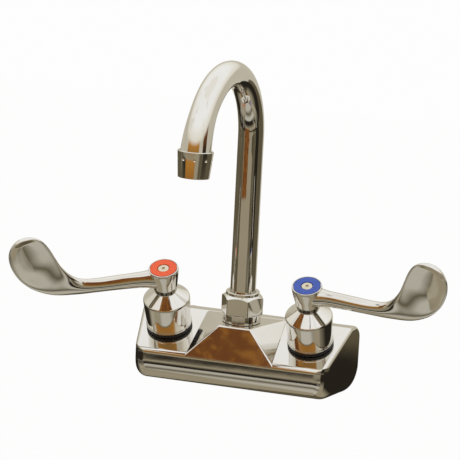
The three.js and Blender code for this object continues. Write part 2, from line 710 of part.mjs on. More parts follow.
function handle(side) {
  const bottom = hubBottom - INDEX_FACE;
  const socketTop = bottom + SPLINE_LENGTH;
  const clear = [
    rod(SPLINE_RADIUS + FREE_GAP, bottom - 5, socketTop),
    rod(SCREW_RADIUS + FREE_GAP, -20, 5),
    rod(INDEX_RADIUS + FREE_GAP, -INDEX_THICK - FREE_GAP, 10),
    block([-20, -20, bottom - 20], [20, 20, bottom]),
  ];
  const casting = cut(join(hub(), armAndBlade()), ...clear);
  return side < 0 ? casting.mirror([1, 0, 0]) : casting;
}

function handleScrew() {
  const top = INDEX_FACE - 0.3;
  const head = top - SCREW_HEAD_THICK;
  const socket = solid(
    new THREE.CylinderGeometry(SCREW_SOCKET_RADIUS, SCREW_SOCKET_RADIUS, SCREW_SOCKET_DEPTH * 2, 6)
      .rotateX(Math.PI / 2)
      .translate(0, 0, top),
  );
  return cut(
    turned(
      [
        [0, INDEX_FACE - SCREW_LENGTH],
        [SCREW_RADIUS, INDEX_FACE - SCREW_LENGTH],
        [SCREW_RADIUS, head],
        [SCREW_HEAD_RADIUS, head],
        [SCREW_HEAD_RADIUS, top - 0.4],
        [SCREW_HEAD_RADIUS - 0.4, top],
        [0, top],
      ],
      SMALL_SIDES,
    ),
    socket,
  );
}

function addValve(side, prefix, armForward) {
  const frame = new THREE.Group();
  frame.position.set((side * VALVE_SPACING) / 2, valveFoot.y, valveFoot.z);
  frame.rotation.x = degrees(DECK_TILT);
  padFrame.add(frame);

  const seal = ring(PORT_RADIUS + 0.5, DISC_RADIUS, seatFloor, seatFloor + SEAT_SEAL_THICK, SMALL_SIDES);
  piece(frame, `${prefix}_seat_seal`, seal, "rubber");
  piece(frame, `${prefix}_fixed_disc`, valveDisc(fixedDiscBottom, 0), "ceramic");
  piece(frame, `${prefix}_cartridge_shell`, cartridgeShell(), "brass");
  const shellGroove = grooveFloor(shellThread, O_RING_SECTION);
  const shellRing = oRing(shellGroove, O_RING_SECTION, SHELL_RING_HEIGHT, ROUND_SIDES);
  piece(frame, `${prefix}_cartridge_o_ring`, shellRing, "rubber");
  const ringOuter = BONNET_RIM_RADIUS;
  const bonnetRing = ring(ringOuter - BONNET_RING_WIDTH, ringOuter, FREE_GAP, BONNET_RING_THICK);
  piece(frame, `${prefix}_bonnet_ring`, bonnetRing, "rubber");
  piece(frame, `${prefix}_bonnet`, bonnet(), "chrome");

  // What turns: closed as it stands, with the moving disc's ports across those of the fixed one.
  const turning = new THREE.Group();
  frame.add(turning);
  const slot = driveBar(DRIVE_WIDTH + 0.5, DRIVE_LENGTH + 0.5, carrierBottom - DRIVE_DEPTH - 0.5, 20);
  piece(turning, `${prefix}_moving_disc`, cut(valveDisc(movingDiscBottom, 90), slot), "ceramic");
  const { ringSeats, seatRadius, body } = stemBody();
  piece(turning, `${prefix}_stem`, body, "brass");
  ringSeats.forEach((height, k) => {
    const stemRing = oRing(seatRadius, STEM_RING_SECTION, height, SMALL_SIDES);
    piece(turning, `${prefix}_stem_o_ring_${k + 1}`, stemRing, "rubber");
  });
  const clip = cut(
    ring(clipGroove + 0.2, CLIP_RADIUS, clipBottom, clipBottom + CLIP_THICK, SMALL_SIDES),
    block([0, -CLIP_MOUTH / 2, 0], [20, CLIP_MOUTH / 2, 60]),
  );
  piece(turning, `${prefix}_stem_clip`, clip, "steel");
  const grip = new THREE.Group();
  grip.rotation.z = degrees(-side * armForward);
  turning.add(grip);
  piece(grip, `${prefix}_handle`, handle(side), "chrome").position.z = INDEX_FACE;
  const index = ring(INDEX_HOLE_RADIUS, INDEX_RADIUS, INDEX_FACE - INDEX_THICK, INDEX_FACE);
  piece(grip, `${prefix}_index_button`, index, `${prefix}Index`);
  piece(grip, `${prefix}_handle_screw`, handleScrew(), "steel");
}

addValve(-1, "hot", HOT_ARM_FORWARD);
addValve(1, "cold", COLD_ARM_FORWARD);

// ---------------------------------------------------------------- spout

const tubeBore = TUBE_RADIUS - TUBE_WALL;
const threadTop = COLLAR_HEIGHT + COLLAR_THREAD_HEIGHT;
const collarBore = FERRULE_SPIGOT_RADIUS + SLIDE_GAP;
const shoulderBottom = threadTop + FREE_GAP;
const shoulderTop = shoulderBottom + FERRULE_SHOULDER;
const tubeBottom = shoulderTop - FERRULE_SOCKET;
const washerBottom = shoulderTop + FREE_GAP;
const nutRoof = washerBottom + THRUST_WASHER_THICK + FREE_GAP;
const nutBottom = COLLAR_HEIGHT + FREE_GAP;
const nutTop = nutBottom + NUT_HEIGHT;
const nutThread = COLLAR_THREAD_RADIUS + THREAD_GAP;

function spoutCollar() {
  return turned([
    [collarBore, threadTop],
    [collarBore, tubeBottom - FERRULE_SPIGOT_LENGTH - 2],
    [SPOUT_DUCT_RADIUS, tubeBottom - FERRULE_SPIGOT_LENGTH - 2],
    [SPOUT_DUCT_RADIUS, -COLLAR_SHANK_DEPTH],
    [COLLAR_SHANK_RADIUS, -COLLAR_SHANK_DEPTH],
    [COLLAR_SHANK_RADIUS, FREE_GAP],
    [COLLAR_RADIUS, FREE_GAP],
    [COLLAR_RADIUS, COLLAR_HEIGHT],
    [COLLAR_THREAD_RADIUS, COLLAR_HEIGHT],
    [COLLAR_THREAD_RADIUS, threadTop],
  ]);
}

/** The hexagon nut with a chamfered top and a round neck about the tube. */
function swivelNut() {
  const corner = NUT_ACROSS_FLATS / Math.sqrt(3);
  const chamferBody = turned([
    [0, nutBottom],
    [corner + 1, nutBottom],
    [corner + 1, nutTop - NUT_CHAMFER - 1],
    [NUT_NECK_RADIUS, nutTop],
    [0, nutTop],
  ]);
  const block6 = hexagon(NUT_ACROSS_FLATS, nutBottom, nutTop).intersect(chamferBody);
  const neckTop = nutTop + NUT_NECK_HEIGHT;
  const neck = turned([
    [0, nutTop - 2],
    [NUT_NECK_RADIUS, nutTop - 2],
    [NUT_NECK_RADIUS, neckTop - 0.8],
    [NUT_NECK_RADIUS - 0.8, neckTop],
    [0, neckTop],
  ]);
  return cut(
    join(block6, neck),
    rod(TUBE_RADIUS + SLIDE_GAP, nutBottom, neckTop + 1),
    rod(nutThread, nutBottom - 1, nutRoof),
  );
}

function ferrule() {
  const spigotBottom = tubeBottom - FERRULE_SPIGOT_LENGTH;
  const shoulderRadius = nutThread - FREE_GAP;
  const seats = [spigotBottom + 4, spigotBottom + 9];
  const half = grooveHalf(STEM_RING_SECTION);
  const seatRadius = grooveFloor(FERRULE_SPIGOT_RADIUS, STEM_RING_SECTION);
  const outline = [[FERRULE_BORE, spigotBottom], [FERRULE_SPIGOT_RADIUS, spigotBottom]];
  for (const height of seats) {
    outline.push([FERRULE_SPIGOT_RADIUS, height - half], [seatRadius, height - half]);
    outline.push([seatRadius, height + half], [FERRULE_SPIGOT_RADIUS, height + half]);
  }
  outline.push(
    [FERRULE_SPIGOT_RADIUS, shoulderBottom],
    [shoulderRadius, shoulderBottom],
    [shoulderRadius, shoulderTop],
    [TUBE_RADIUS + 0.15, shoulderTop],
    [TUBE_RADIUS + 0.15, tubeBottom - 0.15],
    [FERRULE_BORE, tubeBottom - 0.15],
  );
  return { seats, seatRadius, body: turned(outline) };
}

/** The point and direction of the tube's middle line at an angle round its bend. */
const bendPoint = (angle) => [
  BEND_RADIUS * (1 - Math.cos(degrees(angle))),
  BEND_HEIGHT + BEND_RADIUS * Math.sin(degrees(angle)),
];

/** The gooseneck: a straight leg, a round bend in the XZ plane, and a swelled outlet end. */
function spoutTube() {
  const path = new THREE.CurvePath();
  const bendStart = new THREE.Vector3(0, 0, BEND_HEIGHT);
  path.add(new THREE.LineCurve3(new THREE.Vector3(0, 0, tubeBottom), bendStart));
  const steps = 22;
  let last = bendStart;
  for (let step = 1; step <= steps; step += 1) {
    const [x, z] = bendPoint((BEND_ANGLE * step) / steps);
    const next = new THREE.Vector3(x, 0, z);
    path.add(new THREE.LineCurve3(last, next));
    last = next;
  }
  const sides = 16;
  const circle = (radius) =>
    Array.from({ length: sides }, (_, k) => {
      const angle = (2 * Math.PI * k) / sides;
      return new THREE.Vector3(0, radius * Math.sin(angle), radius * Math.cos(angle));
    });
  // Rings across the bend, walked out along the outside and back along the bore.
  const ringAt = (x, z, angle, radius) =>
    circle(radius).map((point) => {
      const lean = degrees(angle);
      const outward = point.z;
      return new THREE.Vector3(
        x - outward * Math.cos(lean),
        point.y,
        z + outward * Math.sin(lean),
      );
    });
  const swellFrom = BEND_ANGLE - (TUBE_SWELL_LENGTH / BEND_RADIUS) * (180 / Math.PI);
  const swellAt = (angle) =>
    (TUBE_END_RADIUS - TUBE_RADIUS) * THREE.MathUtils.smoothstep(angle, swellFrom, BEND_ANGLE);
  const walk = (radius) => [
    ringAt(0, tubeBottom, 0, radius),
    ...Array.from({ length: steps + 1 }, (_, k) => {
      const angle = (BEND_ANGLE * k) / steps;
      const [x, z] = bendPoint(angle);
      return ringAt(x, z, angle, radius + swellAt(angle));
    }),
  ];
  const outer = loft(walk(TUBE_RADIUS));
  const inner = walk(tubeBore);
  const extend = (ringPoints, toward, length) =>
    ringPoints.map((point) => point.clone().addScaledVector(toward, length));
  const down = new THREE.Vector3(0, 0, -1);
  const [endX, endZ] = bendPoint(BEND_ANGLE);
  const out = new THREE.Vector3(endX, 0, endZ)
    .sub(new THREE.Vector3(...[bendPoint(BEND_ANGLE - 0.1)[0], 0, bendPoint(BEND_ANGLE - 0.1)[1]]))
    .normalize();
  inner.unshift(extend(inner[0], down, 2));
  inner.push(extend(inner.at(-1), out, 2));
  return cut(outer, loft(inner));
}

function addSpout() {
  piece(padFrame, "spout_collar", spoutCollar(), "chrome");
  piece(padFrame, "swivel_nut", swivelNut(), "chrome");

  const swivel = new THREE.Group();
  swivel.rotation.z = degrees(-90 - SPOUT_SWING);
  padFrame.add(swivel);
  piece(swivel, "spout_tube", spoutTube(), "chrome");
  const { seats, seatRadius, body } = ferrule();
  piece(swivel, "spout_ferrule", body, "brass");
  seats.forEach((height, k) => {
    const seal = oRing(seatRadius, STEM_RING_SECTION, height, ROUND_SIDES);
    piece(swivel, `spout_o_ring_${k + 1}`, seal, "rubber");
  });
  const thrust = ring(
    TUBE_RADIUS + FREE_GAP,
    nutThread - FREE_GAP,
    washerBottom,
    washerBottom + THRUST_WASHER_THICK,
  );
  piece(swivel, "spout_thrust_washer", thrust, "nylon");

  const outlet = new THREE.Group();
  const [endX, endZ] = bendPoint(BEND_ANGLE);
  outlet.position.set(endX, 0, endZ);
  outlet.rotation.y = degrees(BEND_ANGLE);
  swivel.add(outlet);
  const bore = TUBE_END_RADIUS + THREAD_GAP;
  const end = OUTLET_LENGTH - OUTLET_LAP;
  const tipRound = 0.6;
  const dimpleAt = DIMPLE_FROM_TOP - OUTLET_LAP;
  const taper = (OUTLET_TOP_RADIUS - OUTLET_END_RADIUS) / OUTLET_LENGTH;
  const radiusAt = (s) => OUTLET_TOP_RADIUS - taper * (s + OUTLET_LAP);
  const dimples = Array.from({ length: OUTLET_DIMPLES }, (_, k) => {
    const angle = (2 * Math.PI * k) / OUTLET_DIMPLES;
    const [c, s] = [Math.cos(angle), Math.sin(angle)];
    const deep = radiusAt(dimpleAt) - DIMPLE_DEPTH;
    const far = OUTLET_TOP_RADIUS + 2;
    return bar(DIMPLE_RADIUS, [deep * c, deep * s, dimpleAt], [far * c, far * s, dimpleAt], 8);
  });
  const housing = turned([
    [bore, -OUTLET_LAP],
    [OUTLET_TOP_RADIUS - 0.4, -OUTLET_LAP],
    [OUTLET_TOP_RADIUS, -OUTLET_LAP + 0.4],
    [radiusAt(end - tipRound), end - tipRound],
    [OUTLET_END_RADIUS - tipRound, end],
    [OUTLET_MOUTH_RADIUS, end],
    [OUTLET_MOUTH_RADIUS, end - OUTLET_LIP],
    [OUTLET_END_RADIUS - 1.1, end - OUTLET_LIP],
    [OUTLET_END_RADIUS - 1.1, FREE_GAP + 3],
    [bore, FREE_GAP + 2],
  ]);
  piece(outlet, "aerator_housing", cut(housing, ...dimples), "chrome");
  const washer = ring(tubeBore, TUBE_END_RADIUS, FREE_GAP, FREE_GAP + OUTLET_WASHER_THICK, SMALL_SIDES);
  piece(outlet, "aerator_washer", washer, "rubber");
  const insertRadius = OUTLET_END_RADIUS - 1.1 - FREE_GAP;
  const insertTop = 2 * FREE_GAP + OUTLET_WASHER_THICK;
  const insertEnd = end - OUTLET_LIP - FREE_GAP;
  const holes = [[0, 0]];
  for (let k = 0; k < 6; k += 1) {
    const angle = (Math.PI * k) / 3;
    holes.push([INSERT_HOLE_PITCH * Math.cos(angle), INSERT_HOLE_PITCH * Math.sin(angle)]);
  }
  const bores = holes.map(([x, y]) =>
    bar(INSERT_HOLE_RADIUS, [x, y, insertTop - 1], [x, y, insertEnd + 1], 8),
  );
  const insert = cut(rod(insertRadius, insertTop, insertEnd), ...bores);
  piece(outlet, "aerator_insert", insert, "nylon");
}

addSpout();

export default faucet;
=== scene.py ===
"""Finished looks for a chrome wall faucet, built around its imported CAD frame.

Every visible piece is modelled again with rounded edges and fine facets, in the place and at the
size that the CAD gives it, and dressed in a material named for what the real one is made of.
Sizes are millimetres in the object's own frame: the origin is on the wall face midway between
the inlets, +Y points to the wall and +Z up.
"""

import json
import logging
import math
from collections.abc import Callable, Sequence
from dataclasses import dataclass, field
from enum import Enum

import bmesh
import bpy
from mathutils import Matrix, Vector

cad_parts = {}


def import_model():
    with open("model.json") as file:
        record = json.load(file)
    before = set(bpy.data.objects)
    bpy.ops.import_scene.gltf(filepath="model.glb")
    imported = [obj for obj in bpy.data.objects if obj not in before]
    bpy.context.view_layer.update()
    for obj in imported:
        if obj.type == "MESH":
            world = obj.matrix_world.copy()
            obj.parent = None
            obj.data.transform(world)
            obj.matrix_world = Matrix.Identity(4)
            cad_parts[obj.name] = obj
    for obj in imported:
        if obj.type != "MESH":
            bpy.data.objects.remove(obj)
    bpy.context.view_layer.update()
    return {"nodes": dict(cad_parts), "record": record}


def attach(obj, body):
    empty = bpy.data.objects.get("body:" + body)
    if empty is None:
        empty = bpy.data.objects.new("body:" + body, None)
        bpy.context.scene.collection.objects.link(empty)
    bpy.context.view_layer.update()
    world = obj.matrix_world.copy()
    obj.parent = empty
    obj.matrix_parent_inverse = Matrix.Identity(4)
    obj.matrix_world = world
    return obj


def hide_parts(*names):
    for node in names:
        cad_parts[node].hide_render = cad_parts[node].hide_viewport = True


LOG = logging.getLogger("faucet")

MM = 0.001
SENSOR_MM = 36.0
PHOTO_PIXELS = 460

LATHE_STEPS = 96
RUN_GAP = 0.3  # between pieces that rest on or turn in each other

# The body and what stands on it
SPOUT_TO_WALL = 30.0
PAD_ABOVE_INLETS = 21.0
VALVE_SPACING = 101.6
DECK_TILT = math.radians(24.0)
DECK_CREST = 15.1  # behind the spout axis, where the deck meets the level strip
VALVE_AHEAD = 3.5  # valve axis at the deck, in front of the spout axis
INDEX_FACE = 50.5  # above the deck, along the valve axis
SPOUT_SWING = math.radians(5.4)

Point = tuple[float, float]
Profile = list[Point]


class Side(Enum):
    """The two supplies: each has its prefix, its side of the body and its handle's swing."""

    HOT = ("hot", -1, math.radians(27.0))
    COLD = ("cold", 1, math.radians(11.0))

    @property
    def prefix(self) -> str:
        """The start of its nodes' names."""
        return self.value[0]

    @property
    def sign(self) -> int:
        """-1 to the left and 1 to the right, seen from the front."""
        return self.value[1]

    @property
    def swing(self) -> float:
        """How far its handle stands forward of the body's line."""
        return self.value[2]

    @property
    def rider(self) -> str:
        """The moving body that its handle belongs to."""
        return f"{self.prefix}_valve"


# ---------------------------------------------------------------- places


def pad_place() -> Matrix:
    """Returns the frame on the pad plane at the spout axis."""
    return Matrix.Translation((0.0, -SPOUT_TO_WALL, PAD_ABOVE_INLETS))


def deck_height(y: float) -> float:
    """Height of the sloping deck over the pad plane.

    Args:
        y: Distance behind the spout axis.

    Returns:
        The height, which is negative in front of the crest.
    """
    return (y - DECK_CREST) * math.tan(DECK_TILT)


def valve_place(side: Side) -> Matrix:
    """Frame that stands on the deck, with +Z along a valve's axis.

    Args:
        side: The supply that the valve is on.

    Returns:
        The frame as a matrix in millimetres.
    """
    foot = (side.sign * VALVE_SPACING / 2, -VALVE_AHEAD, deck_height(-VALVE_AHEAD))
    return pad_place() @ Matrix.Translation(foot) @ Matrix.Rotation(DECK_TILT, 4, "X")


def handle_place(side: Side) -> Matrix:
    """Frame of a handle: +X along its arm and the origin on its index face.

    Args:
        side: The supply that the handle turns.

    Returns:
        The frame; the hot one is mirrored, as its casting is.
    """
    swing = Matrix.Rotation(-side.sign * side.swing, 4, "Z")
    mirror = Matrix.Scale(side.sign, 4, (1, 0, 0))
    return valve_place(side) @ swing @ Matrix.Translation((0, 0, INDEX_FACE)) @ mirror


def spout_place() -> Matrix:
    """Returns the spout's frame, with +X the way it reaches."""
    return pad_place() @ Matrix.Rotation(-math.pi / 2 - SPOUT_SWING, 4, "Z")


def inlet_place(side: Side) -> Matrix:
    """Frame of an inlet shank, with +Z out through the wall.

    Args:
        side: The supply of the inlet.

    Returns:
        The frame as a matrix in millimetres.
    """
    centre = Matrix.Translation((side.sign * VALVE_SPACING / 2, 0, 0))
    return centre @ Matrix.Rotation(-math.pi / 2, 4, "X")


def direction(azimuth: float, elevation: float) -> Vector:
    """The way to something that stands round the faucet.

    Args:
        azimuth: Degrees from straight ahead, to the right.
        elevation: Degrees above level.

    Returns:
        The way, as a vector of length 1.
    """
    a, e = math.radians(azimuth), math.radians(elevation)
    return Vector((math.sin(a) * math.cos(e), -math.cos(a) * math.cos(e), math.sin(e)))


# ---------------------------------------------------------------- meshes


def arc(centre: Point, radius: float, start: float, end: float, steps: int) -> Profile:
    """Points on a circular arc.

    Args:
        centre: Its centre.
        radius: Its radius.
        start: First angle in degrees.
        end: Last angle in degrees.
        steps: How many chords it has.

    Returns:
        The points, both ends included.
    """
    angles = (math.radians(start + (end - start) * k / steps) for k in range(steps + 1))
    return [(centre[0] + radius * math.cos(a), centre[1] + radius * math.sin(a)) for a in angles]


def fillet(before: Point, corner: Point, after: Point, radius: float, steps: int) -> Profile:
    """Rounds one corner of an outline.

    Args:
        before: The point before the corner.
        corner: The corner itself.
        after: The point after it.
        radius: Radius of the rounding.
        steps: How many chords it has.

    Returns:
        The points that take the corner's place.
    """
    here = Vector(corner)
    one = (Vector(before) - here).normalized()
    two = (Vector(after) - here).normalized()
    half = one.angle(two) / 2
    centre = here + (one + two).normalized() * (radius / math.sin(half))
    start = here + one * (radius / math.tan(half)) - centre
    turn = start.angle_signed(here + two * (radius / math.tan(half)) - centre)
    points = []
    for k in range(steps + 1):
        arm = start.copy()
        arm.rotate(Matrix.Rotation(-turn * k / steps, 2))
        points.append(tuple(centre + arm))
    return points


def spin_profile(profile: Sequence[Point], steps: int = LATHE_STEPS) -> bmesh.types.BMesh:
    """Turns a [radius, height] outline about +Z into a closed solid.

    Args:
        profile: The outline; it closes on itself, or starts and ends on the axis.
        steps: Facets round the axis.

    Returns:
        The solid as a new mesh.
    """
    bm = bmesh.new()
    verts = [bm.verts.new((radius, 0, height)) for radius, height in profile]
    edges = [bm.edges.new(pair) for pair in zip(verts, verts[1:])]
    if profile[0][0] > 0:
        edges.append(bm.edges.new((verts[-1], verts[0])))
    bmesh.ops.spin(
        bm,
        geom=verts + edges,
        cent=(0, 0, 0),
        axis=(0, 0, 1),
        angle=2 * math.pi,
        steps=steps,
        use_merge=True,
    )
    bmesh.ops.remove_doubles(bm, verts=bm.verts, dist=1e-4)
    bmesh.ops.recalc_face_normals(bm, faces=bm.faces)
    return bm


def spin_ring(inner: float, outer: float, bottom: float, top: float) -> bmesh.types.BMesh:
    """Turns a flat ring, such as a washer.

    Args:
        inner: Radius of its hole.
        outer: Its outer radius.
        bottom: Lowest height.
        top: Highest height.

    Returns:
        The solid.
    """
    return spin_profile([(inner, bottom), (outer, bottom), (outer, top), (inner, top)])


def soften(
    bm: bmesh.types.BMesh,
    width: float,
    segments: int = 3,
    sharper_than: float = 24.0,
    where: Callable[[Vector], bool] = lambda point: True,
) -> bmesh.types.BMesh:
    """Rounds the sharp edges of a solid.

    Args:
        bm: The solid.
        width: How far the rounding reaches from each edge.
        segments: Facets across the rounding.
        sharper_than: Least angle between the faces, in degrees.
        where: Tells from an edge's middle whether it is rounded.

    Returns:
        The same mesh.
    """
    limit = math.radians(sharper_than)
    sharp = [
        edge
        for edge in bm.edges
        if edge.is_manifold
        and edge.calc_face_angle(0.0) > limit
        and where((edge.verts[0].co + edge.verts[1].co) / 2)
    ]
    bmesh.ops.bevel(
        bm,
        geom=sharp,
        offset=width,
        segments=segments,
        profile=0.5,
        affect="EDGES",
        clamp_overlap=True,
        material=-1,
    )
    return bm


def skin_rings(rings: Sequence[Sequence[Vector]]) -> bmesh.types.BMesh:
    """Bridges a row of closed rings and caps both ends.

    Args:
        rings: Rings with as many points each, in step with one another.

    Returns:
        The closed solid.
    """
    bm = bmesh.new()
    loops = []
    for ring in rings:
        verts = [bm.verts.new(point) for point in ring]
        loops.append([bm.edges.new((a, b)) for a, b in zip(verts, verts[1:] + verts[:1])])
    for one, two in zip(loops, loops[1:]):
        bmesh.ops.bridge_loops(bm, edges=one + two)
    for end in (loops[0], loops[-1]):
        bmesh.ops.edgeloop_fill(bm, edges=end)
    bmesh.ops.recalc_face_normals(bm, faces=bm.faces)
    return bm


def cylinder(
    radius: float, bottom: float, top: float, segments: int = LATHE_STEPS
) -> bmesh.types.BMesh:
    """A capped cylinder along +Z.

    Args:
        radius: Its radius.
        bottom: Lowest height.
        top: Highest height.
        segments: Sides, 6 for a hexagon.

    Returns:
        The solid.
    """
    bm = bmesh.new()
    place = Matrix.Translation((0, 0, (bottom + top) / 2))
    bmesh.ops.create_cone(
        bm,
        cap_ends=True,
        segments=segments,
        radius1=radius,
        radius2=radius,
        depth=top - bottom,
        matrix=place,
    )
    return bm


def hexagon(flats: float, bottom: float, top: float) -> bmesh.types.BMesh:
    """A six-sided prism along +Z, with two of its flats facing along X.

    Args:
        flats: Its width across the flats.
        bottom: Lowest height.
        top: Highest height.

    Returns:
        The solid.
    """
    bm = cylinder(flats / math.sqrt(3), bottom, top, 6)
    turn = Matrix.Rotation(math.pi / 6, 3, "Z")
    bmesh.ops.rotate(bm, verts=bm.verts, cent=(0, 0, 0), matrix=turn)
    return bm


def box(low: Vector, high: Vector) -> bmesh.types.BMesh:
    """A block between two corners.

    Args:
        low: Lowest corner.
        high: Highest corner.

    Returns:
        The solid.
    """
    bm = bmesh.new()
    size = Vector(high) - Vector(low)
    centre = (Vector(high) + Vector(low)) / 2
    bmesh.ops.create_cube(bm, matrix=Matrix.Translation(centre) @ Matrix.Diagonal((*size, 1)))
    return bm


def place_mesh(bm: bmesh.types.BMesh, place: Matrix) -> bmesh.types.BMesh:
    """Moves a mesh, and turns its faces out again if the move mirrored it.

    Args:
        bm: The mesh.
        place: Where it goes.

    Returns:
        The same mesh.
    """
    bmesh.ops.transform(bm, matrix=place, verts=bm.verts)
    if place.determinant() < 0:
        bmesh.ops.reverse_faces(bm, faces=bm.faces)
    return bm


def to_object(name: str, bm: bmesh.types.BMesh) -> bpy.types.Object:
    """Makes an object of a mesh in millimetres.

    Args:
        name: Its name.
        bm: The mesh, which is freed.

    Returns:
        The object, in metres and at the origin.
    """
    bmesh.ops.scale(bm, vec=(MM, MM, MM), verts=bm.verts)
    mesh = bpy.data.meshes.new(name)
    bm.to_mesh(mesh)
    bm.free()
    made = bpy.data.objects.new(name, mesh)
    bpy.context.scene.collection.objects.link(made)
    return made


class Cut(Enum):
    """The ways that two solids are combined."""

    JOIN = "UNION"
    TAKE = "DIFFERENCE"
    KEEP = "INTERSECT"


def combine(
    base: bmesh.types.BMesh, tools: Sequence[tuple[Cut, bmesh.types.BMesh]]
) -> bmesh.types.BMesh:
    """Joins, cuts or trims a solid with others, in order.

    Args:
        base: The first solid, which is freed.
        tools: Each way and the solid it is done with, which is freed.

    Returns:
        The result as a new mesh in millimetres.
    """
    made = to_object("base", base)
    helpers = []
    for way, bm in tools:
        helper = to_object("tool", bm)
        helpers.append(helper)
        modifier = made.modifiers.new("cut", "BOOLEAN")
        modifier.operation = way.value
        modifier.solver = "EXACT"
        modifier.object = helper
    graph = bpy.context.evaluated_depsgraph_get()
    result = bmesh.new()
    result.from_object(made, graph)
    bmesh.ops.scale(result, vec=(1 / MM, 1 / MM, 1 / MM), verts=result.verts)
    bmesh.ops.remove_doubles(result, verts=result.verts, dist=2e-3)
    bmesh.ops.dissolve_degenerate(result, dist=2e-3, edges=result.edges)
    for spare in [made, *helpers]:
        mesh = spare.data
        bpy.data.objects.remove(spare)
        bpy.data.meshes.remove(mesh)
    return result


# ---------------------------------------------------------------- materials


def linear(colour: str) -> tuple[float, float, float, float]:
    """Turns an sRGB hex value into the renderer's linear colour.

    Args:
        colour: The value, such as "#d8d2c4".

    Returns:
        Linear red, green and blue, with an alpha of 1.
    """
    parts = (int(colour[k : k + 2], 16) / 255 for k in (1, 3, 5))
    made = [c / 12.92 if c <= 0.04045 else ((c + 0.055) / 1.055) ** 2.4 for c in parts]
    return (*made, 1.0)


def add_node(
    tree: bpy.types.NodeTree, kind: str, settings: dict | None = None, **inputs: object
) -> bpy.types.Node:
    """Adds a shader node with its settings and links.

    Args:
        tree: The node tree it goes in.
        kind: The node's type name.
        settings: Attributes of the node itself.
        inputs: Input sockets by name, with "_" for a space, or by number after a "_": each
            with its value, or the socket to link to it.

    Returns:
        The node.
    """
    made = tree.nodes.new(kind)
    for key, value in (settings or {}).items():
        setattr(made, key, value)
    for key, value in inputs.items():
        place = int(key[1:]) if key[1:].isdigit() else key.replace("_", " ")
        socket = made.inputs[place]
        if isinstance(value, bpy.types.NodeSocket):
            tree.links.new(value, socket)
        else:
            socket.default_value = value
    return made


def blank_material(name: str) -> bpy.types.Material:
    """Makes a material whose node tree is empty.

    Args:
        name: Its name.

    Returns:
        The material.
    """
    made = bpy.data.materials.new(name)
    made.use_nodes = True
    made.node_tree.nodes.clear()
    return made


@dataclass(frozen=True)
class Finish:
    """One material: what it is, how it was made, and how strongly its surface varies."""

    name: str
    colour: str
    patch_colour: str
    metallic: float
    roughness: float
    rough_spread: float
    patch_mm: float
    grain_mm: float
    grain_depth_mm: float
    rings: bool = False

    def material(self) -> bpy.types.Material:
        """Builds the material, or finds it where it has been built.

        Returns:
            A material that reads Object coordinates only.
        """
        found = bpy.data.materials.get(self.name)
        if found:
            return found
        made = blank_material(self.name)
        tree = made.node_tree
        where = add_node(tree, "ShaderNodeTexCoord").outputs["Object"]
        patches = add_node(
            tree,
            "ShaderNodeTexNoise",
            Vector=where,
            Scale=1 / (self.patch_mm * MM),
            Detail=3.0,
            Roughness=0.55,
        ).outputs["Fac"]
        tint = add_node(
            tree,
            "ShaderNodeMix",
            {"data_type": "RGBA"},
            _0=patches,
            _6=linear(self.colour),
            _7=linear(self.patch_colour),
        ).outputs[2]
        rough = add_node(
            tree,
            "ShaderNodeMapRange",
            Value=patches,
            From_Min=0.3,
            From_Max=0.7,
            To_Min=self.roughness - self.rough_spread,
            To_Max=self.roughness + self.rough_spread,
        ).outputs["Result"]
        bump = add_node(
            tree,
            "ShaderNodeBump",
            Strength=1.0,
            Distance=self.grain_depth_mm * MM,
            Height=self._grain(tree, where),
        ).outputs["Normal"]
        shader = add_node(
            tree,
            "ShaderNodeBsdfPrincipled",
            Base_Color=tint,
            Metallic=self.metallic,
            Roughness=rough,
            Normal=bump,
        ).outputs["BSDF"]
        add_node(tree, "ShaderNodeOutputMaterial", Surface=shader)
        made.diffuse_color = linear(self.colour)
        made.metallic = self.metallic
        made.roughness = self.roughness
        return made

    def _grain(self, tree: bpy.types.NodeTree, where: bpy.types.NodeSocket) -> bpy.types.NodeSocket:
        """The height pattern of the surface.

        Args:
            tree: The material's nodes.
            where: Object coordinates.

        Returns:
            The pattern's socket: fine noise, or tool rings where it was turned.
        """
        if self.rings:
            return add_node(
                tree,
                "ShaderNodeTexWave",
                {"wave_type": "RINGS", "rings_direction": "SPHERICAL"},
                Vector=where,
                Scale=1 / (self.grain_mm * MM),
                Distortion=0.6,
            ).outputs["Fac"]
        return add_node(
            tree,
            "ShaderNodeTexNoise",
            Vector=where,
            Scale=1 / (self.grain_mm * MM),
            Detail=2.0,
        ).outputs["Fac"]


# Nickel-chromium plate on polished cast brass: a warm mirror with slow waves left by the buff.
CAST_CHROME = Finish(
    name="chromium_plate_on_cast_brass",
    colour="#eae8e3",
    patch_colour="#dfdcd5",
    metallic=1.0,
    roughness=0.075,
    rough_spread=0.02,
    patch_mm=22.0,
    grain_mm=16.0,
    grain_depth_mm=0.035,
)
# The same plate on drawn tube and turned bar, which come out of the lathe flatter.
TURNED_CHROME = Finish(
    name="chromium_plate_on_turned_brass",
    colour="#ecebe6",
    patch_colour="#e3e0da",
    metallic=1.0,
    roughness=0.06,
    rough_spread=0.015,
    patch_mm=30.0,
    grain_mm=20.0,
    grain_depth_mm=0.02,
)
# Free-machining brass as it leaves the lathe: yellow, satin, a little dull where handled.
MACHINED_BRASS = Finish(
    name="machined_brass",
    colour="#c9a551",
    patch_colour="#a98540",
    metallic=1.0,
    roughness=0.3,
    rough_spread=0.06,
    patch_mm=9.0,
    grain_mm=0.6,
    grain_depth_mm=0.01,
    rings=True,
)
# Moulded EPDM rubber: near black with a bloom of grey, and a fine orange-peel skin.
EPDM_RUBBER = Finish(
    name="moulded_epdm_rubber",
    colour="#0c0c0e",
    patch_colour="#151517",
    metallic=0.0,
    roughness=0.55,
    rough_spread=0.08,
    patch_mm=5.0,
    grain_mm=0.7,
    grain_depth_mm=0.03,
)
